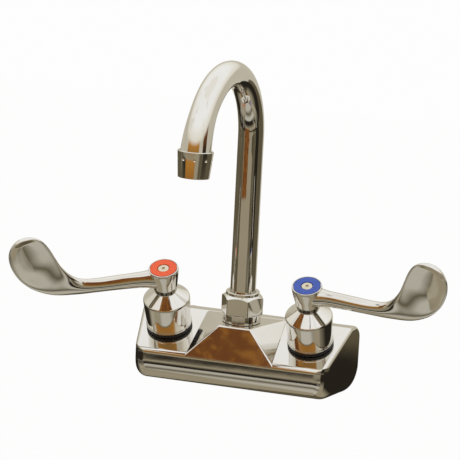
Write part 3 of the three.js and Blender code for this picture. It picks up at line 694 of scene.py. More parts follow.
# Lapped alumina: off-white, dense and almost as smooth as glass.
ALUMINA = Finish(
    name="lapped_alumina",
    colour="#ece8dd",
    patch_colour="#e2ddd0",
    metallic=0.0,
    roughness=0.2,
    rough_spread=0.04,
    patch_mm=4.0,
    grain_mm=0.5,
    grain_depth_mm=0.005,
)
# Vulcanised fibre: red-brown pressed paper, matt with short flecks.
VULCANISED_FIBRE = Finish(
    name="vulcanised_fibre",
    colour="#7c3226",
    patch_colour="#64261d",
    metallic=0.0,
    roughness=0.8,
    rough_spread=0.08,
    patch_mm=2.5,
    grain_mm=0.8,
    grain_depth_mm=0.04,
)
# Moulded acetal: milky white, slightly waxy.
ACETAL = Finish(
    name="moulded_acetal",
    colour="#e6e4dc",
    patch_colour="#dad7cd",
    metallic=0.0,
    roughness=0.42,
    rough_spread=0.05,
    patch_mm=6.0,
    grain_mm=1.2,
    grain_depth_mm=0.01,
)
# Turned stainless steel with fine tool rings; its grey-gold colour is a painted reflection of what
# it mirrors.
STAINLESS = Finish(
    name="turned_stainless_steel",
    colour="#e9e2cf",
    patch_colour="#d8cfb8",
    metallic=1.0,
    roughness=0.4,
    rough_spread=0.05,
    patch_mm=2.0,
    grain_mm=0.5,
    grain_depth_mm=0.008,
    rings=True,
)
# Moulded ABS index discs in the two supply colours, glossy with a very fine moulding skin.
HOT_ABS = Finish(
    name="red_moulded_abs",
    colour="#e4551f",
    patch_colour="#d94e1c",
    metallic=0.0,
    roughness=0.32,
    rough_spread=0.05,
    patch_mm=4.0,
    grain_mm=0.5,
    grain_depth_mm=0.002,
)
COLD_ABS = Finish(
    name="blue_moulded_abs",
    colour="#3153b5",
    patch_colour="#2b49a3",
    metallic=0.0,
    roughness=0.32,
    rough_spread=0.05,
    patch_mm=4.0,
    grain_mm=0.5,
    grain_depth_mm=0.002,
)

SLOT_FINISHES: dict[str, Finish] = {
    "chrome": CAST_CHROME,
    "brass": MACHINED_BRASS,
    "rubber": EPDM_RUBBER,
    "ceramic": ALUMINA,
    "fibre": VULCANISED_FIBRE,
    "nylon": ACETAL,
    "steel": STAINLESS,
    "hot_index": HOT_ABS,
    "cold_index": COLD_ABS,
}


@dataclass
class Piece:
    """One finished piece: its name is its CAD node's with a suffix, and it stands for that node."""

    node: str
    rider: str
    slot: str
    finish: Finish
    smooth_below: float = 32.0

    def make(self, bm: bmesh.types.BMesh, place: Matrix) -> None:
        """Places, shades and dresses a mesh, and hands it to the frame.

        Args:
            bm: The mesh in millimetres, in its own frame.
            place: That frame in the object.
        """
        made = to_object(f"{self.node}_finished", place_mesh(bm, place))
        made.data.materials.append(self.finish.material())
        made.data.polygons.foreach_set("use_smooth", [True] * len(made.data.polygons))
        made.data.set_sharp_from_angle(angle=math.radians(self.smooth_below))
        weighted = made.modifiers.new("even_normals", "WEIGHTED_NORMAL")
        weighted.keep_sharp = True
        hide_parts(self.node)
        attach(made, self.rider)
        LOG.info("%s: %d faces", made.name, len(made.data.polygons))


# ---------------------------------------------------------------- body


@dataclass
class FaucetBody:
    """The cast block with its sloping deck, flared round-ended flanks and faceted spout pad."""

    lip_ahead: float = 29.5
    lip_round: float = 4.6
    back_top_radius: float = 9.5
    back_bottom_radius: float = 16.0
    back_flat_bottom: float = 31.0
    roll_radius: float = 17.3
    roll_drop: float = 27.0
    lip_half_width: float = 67.6
    wall_half_width: float = 78.3
    deck_edge_round: float = 3.0
    front_edge_round: float = 8.5
    wall_edge_round: float = 1.5
    pad_front: float = 17.7
    pad_front_half: float = 11.2
    pad_foot_half: float = 31.0
    pad_foot_from_lip: float = 0.6
    pad_crest_half: float = 29.0
    pad_crest_root: float = 8.0
    pad_foot_root: float = 6.0
    pad_round: float = 1.1
    pad_round_above: float = -12.0
    crest_round: float = 4.0
    pocket_inner: float = 19.0
    pocket_outer: float = 33.0
    pocket_depth: float = 21.0
    pocket_top: float = 12.0
    pocket_bottom: float = 30.0
    chamber_radius: float = 13.0
    chamber_depth: float = 13.5
    seat_radius: float = 8.5
    seat_depth: float = 16.0
    inlet_radius: float = 10.65
    inlet_depth: float = 11.5
    spout_bore: float = 10.3
    spout_bore_depth: float = 9.3

    def half_width(self, y: float) -> float:
        """Half the body's width at a distance behind the spout axis."""
        share = (y + self.lip_ahead) / (SPOUT_TO_WALL + self.lip_ahead)
        return self.lip_half_width + (self.wall_half_width - self.lip_half_width) * share

    def outline(self, turn: float) -> list[tuple[float, float, float]]:
        """The end profile, drawn in as the end edge is rounded.

        Args:
            turn: How far round the end edge, from 90 degrees on the end face to 0 on the sides.

        Returns:
            Rows of y, z and the rounding of the end edge there.
        """
        draw_in = 1 - math.cos(turn)
        front, deck = self.front_edge_round * draw_in, self.deck_edge_round * draw_in
        sunk = deck / math.cos(DECK_TILT)
        front_y = front - self.lip_ahead
        lip = (front_y, deck_height(front_y) - sunk)
        crest = (DECK_CREST + (sunk - deck) / math.tan(DECK_TILT), -deck)
        roll = (self.roll_radius - self.lip_ahead, -self.roll_drop)
        back_top = (SPOUT_TO_WALL - self.back_top_radius, -self.back_top_radius)
        back_low = (SPOUT_TO_WALL - self.back_bottom_radius, -self.back_flat_bottom)
        drop = back_low[1] - self.back_bottom_radius - roll[1] + self.roll_radius
        low = -90 + math.degrees(math.atan2(drop, back_low[0] - roll[0]))
        rows: list[tuple[float, float, float]] = []

        def run(points: Profile, first: float, last: float) -> None:
            """Adds points whose end edge changes its rounding.

            Args:
                points: The points as y and z.
                first: Rounding of the end edge at the first point.
                last: Rounding at the last one.
            """
            for k, point in enumerate(points):
                share = k / (len(points) - 1)
                rows.append((*point, first + (last - first) * share))

        def rounded(
            centre: Point, radius: float, angles: Point, first: float, last: float, steps: int
        ) -> None:
            """Adds an arc, drawn in by the rounding of its own end edge.

            Args:
                centre: The arc's centre.
                radius: Its radius.
                angles: First and last angle in degrees.
                first: Rounding of the end edge at its start.
                last: Rounding at its end.
                steps: How many chords it has.
            """
            points = []
            for k, (y, z) in enumerate(arc(centre, radius, *angles, steps)):
                inset = (first + (last - first) * k / steps) * draw_in / radius
                points.append((y + (centre[0] - y) * inset, z + (centre[1] - z) * inset))
            run(points, first, last)

        run(
            fillet((front_y, lip[1] - 9), lip, crest, self.lip_round, 10),
            self.front_edge_round,
            self.deck_edge_round,
        )
        run(
            fillet(lip, crest, (back_top[0], crest[1]), self.crest_round, 4),
            self.deck_edge_round,
            self.deck_edge_round,
        )
        top_radius, low_radius = self.back_top_radius, self.back_bottom_radius
        wall, flank = self.wall_edge_round, self.front_edge_round
        rounded(back_top, top_radius, (90, 0), self.deck_edge_round, wall, 14)
        rounded(back_low, low_radius, (0, low), wall, flank, 16)
        rounded(roll, self.roll_radius, (low, -180), flank, flank, 18)
        return rows

    def block(self) -> bmesh.types.BMesh:
        """Runs the profile from end to end, with flared and rounded ends.

        Returns:
            The block as a closed solid.
        """
        quarter = [math.radians(angle) for angle in range(90, -1, -10)]

        def ring(sign: int, turn: float) -> list[Vector]:
            """One ring of the block at a step round the end edge.

            Args:
                sign: -1 for the left end and 1 for the right.
                turn: How far round, as outline takes it.

            Returns:
                The ring's points.
            """
            return [
                Vector((sign * (self.half_width(y) - edge * (1 - math.sin(turn))), y, z))
                for y, z, edge in self.outline(turn)
            ]

        left = [ring(-1, turn) for turn in quarter]
        right = [ring(1, turn) for turn in reversed(quarter)]
        return skin_rings(left + right)

    def pad(self) -> bmesh.types.BMesh:
        """The raised pad: a steep front and two three-cornered side facets.

        Returns:
            The pad as a solid that reaches into the block.
        """
        foot_y = -self.lip_ahead + self.pad_foot_from_lip
        foot_z = deck_height(foot_y)
        bm = bmesh.new()
        for sign in (-1, 1):
            bm.verts.new((sign * self.pad_front_half, -self.pad_front, 0))
            bm.verts.new((sign * self.pad_crest_half, DECK_CREST, 0))
            bm.verts.new((sign * self.pad_foot_half, foot_y, foot_z))
            bm.verts.new((sign * self.pad_crest_half, DECK_CREST, -self.pad_crest_root))
            root = (sign * (self.pad_foot_half - 2), foot_y + 4, foot_z - self.pad_foot_root)
            bm.verts.new(root)
        bmesh.ops.convex_hull(bm, input=bm.verts)
        bmesh.ops.dissolve_limit(
            bm, angle_limit=math.radians(0.5), verts=bm.verts, edges=bm.edges
        )
        bmesh.ops.recalc_face_normals(bm, faces=bm.faces)
        return soften(bm, self.pad_round, 4, 12.0, lambda point: point.z > self.pad_round_above)

    def cuts(self) -> list[tuple[Cut, bmesh.types.BMesh]]:
        """Everything that is taken out of the casting.

        Returns:
            Each way of cutting and its solid, in the pad's frame.
        """
        to_pad = pad_place().inverted()
        tools = [
            (Cut.TAKE, cylinder(self.spout_bore, -self.spout_bore_depth, 6)),
        ]
        for side in Side:
            chamber = spin_profile(
                [
                    (0, -self.seat_depth),
                    (self.seat_radius, -self.seat_depth),
                    (self.seat_radius, -self.chamber_depth),
                    (self.chamber_radius, -self.chamber_depth),
                    (self.chamber_radius, 8),
                    (0, 8),
                ],
                64,
            )
            tools.append((Cut.TAKE, place_mesh(chamber, to_pad @ valve_place(side))))
            inlet = cylinder(self.inlet_radius, -self.inlet_depth, 5, 64)
            tools.append((Cut.TAKE, place_mesh(inlet, to_pad @ inlet_place(side))))
            inner, outer = sorted((side.sign * self.pocket_inner, side.sign * self.pocket_outer))
            pocket = box(
                (inner, SPOUT_TO_WALL - self.pocket_depth, -self.pocket_bottom),
                (outer, SPOUT_TO_WALL + 5, -self.pocket_top),
            )
            tools.append((Cut.TAKE, soften(pocket, 2.0, 4)))
        return tools

    def build(self) -> None:
        """Makes the finished casting."""
        casting = combine(self.block(), [(Cut.JOIN, self.pad()), *self.cuts()])
        Piece("faucet_body", "body", "chrome", CAST_CHROME, 28.0).make(casting, pad_place())


# ---------------------------------------------------------------- valves


@dataclass
class ValveTrim:
    """What shows of one valve: rubber ring, bonnet, handle casting, index disc and screw."""

    side: Side
    ring_outer: float = 15.9
    ring_inner: float = 13.9
    ring_top: float = 2.8
    rim_radius: float = 15.9
    rim_height: float = 1.5
    foot_radius: float = 15.5
    shoulder_radius: float = 16.3
    shoulder_height: float = 24.7
    shoulder_round: float = 2.0
    cone: float = 35.0
    mouth_radius: float = 6.5
    lip_radius: float = 7.3
    bonnet_top: float = 31.4
    bonnet_bore: float = 13.9
    hub_clearance: float = 0.5
    spline_radius: float = 4.3
    spline_length: float = 9.7
    screw_hole: float = 2.2
    index_radius: float = 9.2
    index_hole: float = 4.1
    index_thick: float = 1.7
    screw_sunk: float = 0.3
    screw_head: float = 3.8
    screw_head_thick: float = 1.6
    screw_socket: float = 1.3
    screw_socket_depth: float = 0.9
    screw_shank: float = 1.9
    screw_length: float = 14.0

    def rubber_ring(self) -> None:
        """The black ring between the bonnet and the deck."""
        ring = spin_ring(self.ring_inner, self.ring_outer, RUN_GAP, self.ring_top)
        piece = Piece(f"{self.side.prefix}_bonnet_ring", "body", "rubber", EPDM_RUBBER)
        piece.make(soften(ring, 0.55, 4), valve_place(self.side))

    def bonnet(self) -> None:
        """The bell-shaped cover: a rolled rim, straight sides, a round shoulder and a cone."""
        bottom = self.ring_top + RUN_GAP
        slope = math.tan(math.radians(self.cone))
        shoulder = arc(
            (self.shoulder_radius - self.shoulder_round, self.shoulder_height - 1.2),
            self.shoulder_round,
            0,
            90 - self.cone,
            8,
        )
        top_radius, top_height = shoulder[-1]
        cone_top = top_height + (top_radius - self.lip_radius) * slope
        rim_top = bottom + self.rim_height
        profile = [
            (self.bonnet_bore, bottom),
            (self.rim_radius, bottom),
            (self.rim_radius, rim_top - 0.3),
            (self.foot_radius, rim_top),
            *shoulder,
            (self.lip_radius, cone_top),
            (self.lip_radius, self.bonnet_top),
            (self.mouth_radius, self.bonnet_top),
            (self.mouth_radius, cone_top - 2),
            (self.bonnet_bore, self.shoulder_height - 2.6),
        ]
        shell = soften(spin_profile(profile, 128), 0.35, 3)
        piece = Piece(f"{self.side.prefix}_bonnet", "body", "chrome", TURNED_CHROME, 40.0)
        piece.make(shell, valve_place(self.side))

    def index_disc(self) -> None:
        """The coloured disc let into the top of the hub."""
        disc = spin_ring(self.index_hole, self.index_radius, -self.index_thick, 0)
        finish = HOT_ABS if self.side is Side.HOT else COLD_ABS
        slot = f"{self.side.prefix}_index"
        piece = Piece(f"{self.side.prefix}_index_button", self.side.rider, slot, finish)
        piece.make(soften(disc, 0.25, 3), handle_place(self.side))

    def screw(self) -> None:
        """The handle screw: a turned head with a hexagon socket, and its shank."""
        top = -self.screw_sunk
        head = top - self.screw_head_thick
        turned = spin_profile(
            [
                (0, -self.screw_length),
                (self.screw_shank, -self.screw_length),
                (self.screw_shank, head),
                (self.screw_head, head),
                (self.screw_head, top),
                (0, top),
            ],
            64,
        )
        soften(turned, 0.35, 3)
        socket = cylinder(self.screw_socket, top - self.screw_socket_depth, top + 1, 6)
        piece = Piece(f"{self.side.prefix}_handle_screw", self.side.rider, "steel", STAINLESS)
        piece.make(combine(turned, [(Cut.TAKE, socket)]), handle_place(self.side))

    def build(self) -> None:
        """Makes the pieces of this valve."""
        self.rubber_ring()
        self.bonnet()
        self.index_disc()
        self.screw()
        WristBlade(self.side, self).build()


@dataclass(frozen=True)
class Station:
    """A place along the handle: its upper and lower edge as (u, n), and its depth."""

    upper: Point
    lower: Point
    depth: float


@dataclass
class WristBlade:
    """The one-piece casting of hub, arm and dished blade, in its index-face frame."""

    side: Side
    trim: ValveTrim
    dish: float = 3.2
    dish_starts: float = 0.4
    dish_full: float = 0.66
    blade_widest: float = 0.75  # past this share the tip comes forward as the edges do
    full_dish_width: float = 22.0
    edge_squareness: float = 0.2
    face_squareness: float = 0.35
    hub_top_radius: float = 10.4
    hub_foot: float = 8.0
    rings: int = 96
    around: int = 48
    stations: Sequence[Station] = field(
        default_factory=lambda: (
            Station((3, -1.2), (3, -15.2), 15),
            Station((9, -1.3), (9, -14.4), 13.4),
            Station((14, -1.3), (14, -13), 11.2),
            Station((22, -0.9), (22, -11.8), 10.2),
            Station((36, -0.4), (36, -10.4), 10),
            Station((47, 0.2), (48, -9.6), 9.4),
            Station((56.3, 2.2), (61.5, -8.8), 8.6),
            Station((63.2, 7.4), (76.5, -6.2), 7.2),
            Station((68.9, 16.2), (88.8, 0.8), 5.8),
            Station((72.5, 25.6), (97.4, 10.4), 4.4),
            Station((75.8, 34.6), (102.2, 21), 4.4),
            Station((79.4, 41), (103.6, 30.8), 4.4),
            Station((83.6, 44.4), (102, 38), 4.4),
            Station((87.4, 45.6), (98.6, 42.6), 4.4),
            Station((91.6, 45.7), (94.2, 45.1), 3.4),
        )
    )

    @property
    def bottom(self) -> float:
        """Height of the hub's foot, just over the bonnet."""
        return self.trim.bonnet_top + self.trim.hub_clearance - INDEX_FACE

    @property
    def socket_top(self) -> float:
        """Height of the spline socket's end."""
        return self.bottom + self.trim.spline_length

    @property
    def recess(self) -> float:
        """Height of the floor under the index disc."""
        return -self.trim.index_thick - RUN_GAP

    @property
    def recess_radius(self) -> float:
        """Radius of the recess that takes the index disc."""
        return self.trim.index_radius + RUN_GAP

    def _along(self, pick: Callable[[Station], Vector], share: float) -> Vector:
        """Reads a smooth curve through one value of the stations.

        Args:
            pick: Takes the value from a station.
            share: How far along the handle, from 0 to 1.

        Returns:
            The value there.
        """
        values = [pick(station) for station in self.stations]
        at = share * (len(values) - 1)
        low = min(int(at), len(values) - 2)
        t = at - low
        two, three = values[low], values[low + 1]
        one = values[low - 1] if low else two * 2 - three
        four = values[low + 2] if low + 2 < len(values) else three * 2 - two
        pull_in, pull_out = (three - one) / 2, (four - two) / 2
        return (
            two * (2 * t**3 - 3 * t**2 + 1)
            + pull_in * (t**3 - 2 * t**2 + t)
            + three * (3 * t**2 - 2 * t**3)
            + pull_out * (t**3 - t**2)
        )

    def arm_and_blade(self) -> bmesh.types.BMesh:
        """Oval at the hub, flattening into a dished blade that stands up.

        Returns:
            The closed solid.
        """
        rings = []
        for step in range(self.rings + 1):
            share = step / self.rings
            upper = self._along(lambda s: Vector((s.upper[0], 0, s.upper[1])), share)
            lower = self._along(lambda s: Vector((s.lower[0], 0, s.lower[1])), share)
            depth = self._along(lambda s: Vector((s.depth, 0, 0)), share).x / 2
            flat = min(max((share - self.dish_starts) / (self.dish_full - self.dish_starts), 0), 1)
            flat = flat * flat * (3 - 2 * flat)
            narrow = min((upper - lower).length / self.full_dish_width, 1) ** 2
            dish = self.dish * flat * narrow
            tip_forward = self.dish * (1 - narrow) / 2 if share > self.blade_widest else 0.0
            ring = []
            for k in range(self.around):
                angle = 2 * math.pi * k / self.around
                c, s = math.cos(angle), math.sin(angle)
                across = math.copysign(abs(c) ** (1 - self.edge_squareness * flat), c)
                through = math.copysign(abs(s) ** (1 - self.face_squareness * flat), s)
                point = lower.lerp(upper, (across + 1) / 2)
                point.y = depth * through + dish * (0.5 - across**2) - tip_forward
                ring.append(point)
            rings.append(ring)
        return skin_rings(rings)

    def hub(self) -> bmesh.types.BMesh:
        """The flared hub with its index recess and spline socket.

        Returns:
            The closed solid.
        """
        profile = [
            (self.trim.spline_radius, self.bottom),
            (self.hub_foot, self.bottom),
            (self.hub_foot + 0.35, -16),
            (self.hub_foot + 0.75, -13),
            (self.hub_foot + 1.2, -10.5),
            (self.hub_top_radius - 0.75, -8),
            (self.hub_top_radius - 0.35, -5.4),
            (self.hub_top_radius - 0.05, -2.6),
            (self.hub_top_radius, -1),
            (self.hub_top_radius - 0.15, -0.1),
            (self.recess_radius, -0.1),
            (self.recess_radius, self.recess),
            (self.trim.screw_hole, self.recess),
            (self.trim.screw_hole, self.socket_top),
            (self.trim.spline_radius, self.socket_top),
        ]
        return soften(spin_profile(profile), 0.2, 3, 40.0)

    def build(self) -> None:
        """Makes the finished handle."""
        socket = cylinder(self.trim.spline_radius, self.bottom - 5, self.socket_top)
        casting = combine(
            self.arm_and_blade(),
            [
                (Cut.TAKE, cylinder(self.hub_foot - 0.5, -20, 5)),
                (Cut.JOIN, self.hub()),
                (Cut.TAKE, cylinder(self.recess_radius, self.recess, 10)),
                (Cut.TAKE, socket),
            ],
        )
        piece = Piece(f"{self.side.prefix}_handle", self.side.rider, "chrome", CAST_CHROME, 40.0)
        piece.make(casting, handle_place(self.side))


# ---------------------------------------------------------------- spout


@dataclass
class Gooseneck:
    """The swivelling spout: collar, hexagon nut, bent tube and outlet housing."""

    tube_radius: float = 8.86
    tube_wall: float = 1.3
    end_radius: float = 10.1
    swell_length: float = 34.0
    bend_radius: float = 50.8
    bend_height: float = 130.7
    bend_angle: float = math.radians(174.5)
    tube_bottom: float = 13.8
    collar_radius: float = 13.5
    collar_height: float = 6.3
    collar_thread: float = 10.9
    thread_top: float = 13.1
    collar_shank: float = 10.0
    collar_shank_depth: float = 9.0
    collar_bore: float = 8.9
    nut_flats: float = 26.0
    nut_height: float = 13.0
    nut_neck: float = 11.7
    nut_neck_height: float = 2.2
    nut_chamfer: float = 2.0
    nut_thread: float = 11.2
    nut_roof: float = 18.6
    outlet_length: float = 17.5
    outlet_lap: float = 4.6
    outlet_top_radius: float = 11.8
    outlet_end_radius: float = 10.3
    outlet_mouth: float = 8.3
    outlet_lip: float = 1.6
    dimples: int = 9
    dimple_from_top: float = 5.2
    dimple_ball: float = 1.15
    dimple_ball_out: float = 0.5

    def collar(self) -> None:
        """The round collar that the nut screws on to."""
        profile = [
            (self.collar_bore, self.thread_top),
            (self.collar_bore, -self.collar_shank_depth),
            (self.collar_shank, -self.collar_shank_depth),
            (self.collar_shank, RUN_GAP),
            (self.collar_radius, RUN_GAP),
            (self.collar_radius, self.collar_height),
            (self.collar_thread, self.collar_height),
            (self.collar_thread, self.thread_top),
        ]
        turned = soften(spin_profile(profile), 0.4, 3)
        Piece("spout_collar", "body", "chrome", TURNED_CHROME).make(turned, pad_place())

    def nut(self) -> None:
        """The hexagon nut: chamfered top corners and a round neck about the tube."""
        bottom = self.collar_height + RUN_GAP
        top = bottom + self.nut_height
        corner = self.nut_flats / math.sqrt(3)
        neck_top = top + self.nut_neck_height
        chamfer = spin_profile(
            [
                (0, bottom - 1),
                (corner - 0.5, bottom - 1),
                (corner + 1, bottom + 1.2),
                (corner + 1, top - self.nut_chamfer - 1),
                (self.nut_neck, top),
                (0, top),
            ]
        )
        neck = spin_profile(
            [(0, top - 2), (self.nut_neck, top - 2), (self.nut_neck, neck_top), (0, neck_top)]
        )
        bores = spin_profile(
            [
                (0, bottom - 1),
                (self.nut_thread, bottom - 1),
                (self.nut_thread, self.nut_roof),
                (self.tube_radius + RUN_GAP, self.nut_roof),
                (self.tube_radius + RUN_GAP, neck_top + 1),
                (0, neck_top + 1),
            ]
        )
        sides = hexagon(self.nut_flats, bottom, top)
        nut = combine(
            soften(sides, 0.7, 4, 50.0, lambda point: bottom + 0.1 < point.z < top - 0.1),
            [(Cut.KEEP, chamfer), (Cut.JOIN, soften(neck, 0.6, 4)), (Cut.TAKE, bores)],
        )
        Piece("swivel_nut", "body", "chrome", TURNED_CHROME, 18.0).make(nut, pad_place())

    def tube(self) -> None:
        """The gooseneck, spun round its bend and swelled towards the outlet."""
        bm = bmesh.new()
        start = bmesh.ops.create_circle(
            bm,
            cap_ends=False,
            segments=72,
            radius=self.tube_radius,
            matrix=Matrix.Translation((0, 0, self.bend_height)),
        )["verts"]
        rim = list({edge for vert in start for edge in vert.link_edges})
        leg = bmesh.ops.extrude_edge_only(bm, edges=rim)["geom"]
        drop = Vector((0, 0, self.tube_bottom - self.bend_height))
        bmesh.ops.translate(
            bm, vec=drop, verts=[part for part in leg if isinstance(part, bmesh.types.BMVert)]
        )
        centre = Vector((self.bend_radius, 0, self.bend_height))
        bmesh.ops.spin(
            bm,
            geom=start + rim,
            cent=centre,
            axis=(0, 1, 0),
            angle=self.bend_angle,
            steps=110,
            use_merge=False,
        )
        bmesh.ops.remove_doubles(bm, verts=bm.verts, dist=1e-3)
        self._swell(bm, centre)
        bmesh.ops.recalc_face_normals(bm, faces=bm.faces)
        shell = self._thicken(bm)
        Piece("spout_tube", "spout", "chrome", TURNED_CHROME, 60.0).make(shell, spout_place())

    def _swell(self, bm: bmesh.types.BMesh, centre: Vector) -> None:
        """Widens the last stretch of the bend.

        Args:
            bm: The tube's skin.
            centre: Centre of the bend.
        """
        first = self.bend_angle - self.swell_length / self.bend_radius
        for vert in bm.verts:
            arm = vert.co - centre
            turned = math.atan2(arm.z, -arm.x)
            if turned <= first:
                continue
            share = min((turned - first) / (self.bend_angle - first), 1)
            growth = (self.end_radius - self.tube_radius) * share * share * (3 - 2 * share)
            middle = centre + Vector((-math.cos(turned), 0, math.sin(turned))) * self.bend_radius
            vert.co = middle + (vert.co - middle) * (1 + growth / self.tube_radius)

    def _thicken(self, bm: bmesh.types.BMesh) -> bmesh.types.BMesh:
        """Gives the tube's skin its wall.

        Args:
            bm: The skin with its faces pointing out.

        Returns:
            The closed wall.
        """
        bmesh.ops.solidify(bm, geom=bm.faces, thickness=self.tube_wall)
        bmesh.ops.recalc_face_normals(bm, faces=bm.faces)
        return bm

    def outlet_place(self) -> Matrix:
        """Returns the outlet's frame: its origin in the tube's mouth and +Z with the water."""
        reach = self.bend_radius * (1 - math.cos(self.bend_angle))
        rise = self.bend_height + self.bend_radius * math.sin(self.bend_angle)
        turned = Matrix.Rotation(self.bend_angle, 4, "Y")
        return spout_place() @ Matrix.Translation((reach, 0, rise)) @ turned

    def outlet(self) -> None:
        """The tapered outlet housing with its ring of spanner dimples."""
        end = self.outlet_length - self.outlet_lap
        bore = self.end_radius + RUN_GAP
        inner = self.outlet_end_radius - 1.1
        profile = [
            (bore, -self.outlet_lap),
            (self.outlet_top_radius, -self.outlet_lap),
            (self.outlet_end_radius, end),
            (self.outlet_mouth, end),
            (self.outlet_mouth, end - self.outlet_lip),
            (inner, end - self.outlet_lip),
            (inner, 3 + RUN_GAP),
            (bore, 2 + RUN_GAP),
        ]
        housing = soften(spin_profile(profile), 0.45, 4, 40.0)
        depth = self.dimple_from_top - self.outlet_lap
        taper = (self.outlet_top_radius - self.outlet_end_radius) / self.outlet_length
        surface = self.outlet_top_radius - taper * self.dimple_from_top
        tools = []
        for k in range(self.dimples):
            angle = 2 * math.pi * k / self.dimples
            ball = bmesh.new()
            out = surface + self.dimple_ball_out
            bmesh.ops.create_uvsphere(
                ball,
                u_segments=20,
                v_segments=14,
                radius=self.dimple_ball,
                matrix=Matrix.Translation((out * math.cos(angle), out * math.sin(angle), depth)),
            )
            tools.append((Cut.TAKE, ball))
        piece = Piece("aerator_housing", "spout", "chrome", TURNED_CHROME)
        piece.make(combine(housing, tools), self.outlet_place())

    def build(self) -> None:
        """Makes the spout's pieces."""
        self.collar()
        self.nut()
        self.tube()
        self.outlet()


# ---------------------------------------------------------------- wall side


@dataclass
class InletFittings:
    """The threaded shank, fibre washer and locknut of one supply, behind the body."""

    side: Side
    shank_radius: float = 10.35
    shank_bore: float = 7.0
    shank_in: float = 11.2
    shank_out: float = 30.0
    thread_pitch: float = 1.81
    thread_depth: float = 1.0
    thread_start: float = 0.8
    thread_end: float = 1.6
    splash_thick: float = 1.6
    washer_radius: float = 15.0
    washer_thick: float = 1.8
    nut_flats: float = 28.0
    nut_height: float = 7.0

    def shank(self) -> None:
        """The shank with its thread rolled from the wall to the end."""
        root = self.shank_radius - self.thread_depth
        profile = [
            (self.shank_bore, -self.shank_in),
            (self.shank_radius, -self.shank_in),
            (self.shank_radius, 0.4),
        ]
        turns = int((self.shank_out - self.thread_end) / self.thread_pitch)
        for turn in range(turns):
            start = self.thread_start + turn * self.thread_pitch
            profile += [
                (root, start + 0.15 * self.thread_pitch),
                (root, start + 0.3 * self.thread_pitch),
                (self.shank_radius, start + 0.75 * self.thread_pitch),
                (self.shank_radius, start + 0.85 * self.thread_pitch),
            ]
        profile += [
            (root, self.shank_out - 0.3),
            (root - 0.4, self.shank_out),
            (self.shank_bore, self.shank_out),
        ]
        piece = Piece(f"{self.side.prefix}_inlet_shank", "body", "brass", MACHINED_BRASS, 20.0)
        piece.make(spin_profile(profile), inlet_place(self.side))

    def washer(self) -> None:
        """The fibre washer against the splash."""
        bore = self.shank_radius + RUN_GAP
        top = self.splash_thick + self.washer_thick
        disc = spin_ring(bore, self.washer_radius, self.splash_thick, top)
        piece = Piece(f"{self.side.prefix}_inlet_washer", "body", "fibre", VULCANISED_FIBRE)
        piece.make(soften(disc, 0.3, 2), inlet_place(self.side))

    def locknut(self) -> None:
        """The hexagon locknut with chamfered corners."""
        bottom = self.splash_thick + self.washer_thick + RUN_GAP
        top = bottom + self.nut_height
        corner = self.nut_flats / math.sqrt(3)
        flat = self.nut_flats / 2
        chamfer = spin_profile(
            [
                (0, bottom),
                (flat - 0.3, bottom),
                (corner + 0.5, bottom + 1.6),
                (corner + 0.5, top - 1.6),
                (flat - 0.3, top),
                (0, top),
            ]
        )
        bore = cylinder(self.shank_radius + RUN_GAP, bottom - 1, top + 1)
        sides = hexagon(self.nut_flats, bottom, top)
        nut = combine(sides, [(Cut.KEEP, chamfer), (Cut.TAKE, bore)])
        piece = Piece(f"{self.side.prefix}_inlet_locknut", "body", "brass", MACHINED_BRASS, 18.0)
        piece.make(nut, inlet_place(self.side))

    def build(self) -> None:
        """Makes this supply's fittings."""
        self.shank()
        self.washer()
        self.locknut()


# ---------------------------------------------------------------- studio


class Tone(Enum):
    """What stands round the faucet in a kitchen, by the colour it gives to the chrome; the room's
    light and shade are painted into these tones.
    """

    WHITE = "#ffffff"
    CREAM = "#ece8dc"
    PLASTER = "#c8c2b2"
    STEEL = "#c0bcb0"
    STONE = "#a09680"
    DRAB = "#605844"
    SHADE = "#28241e"
    WALNUT = "#704424"
    UMBER = "#8c6c40"
    OAK = "#b88038"


Stops = tuple[tuple[float, Tone], ...]


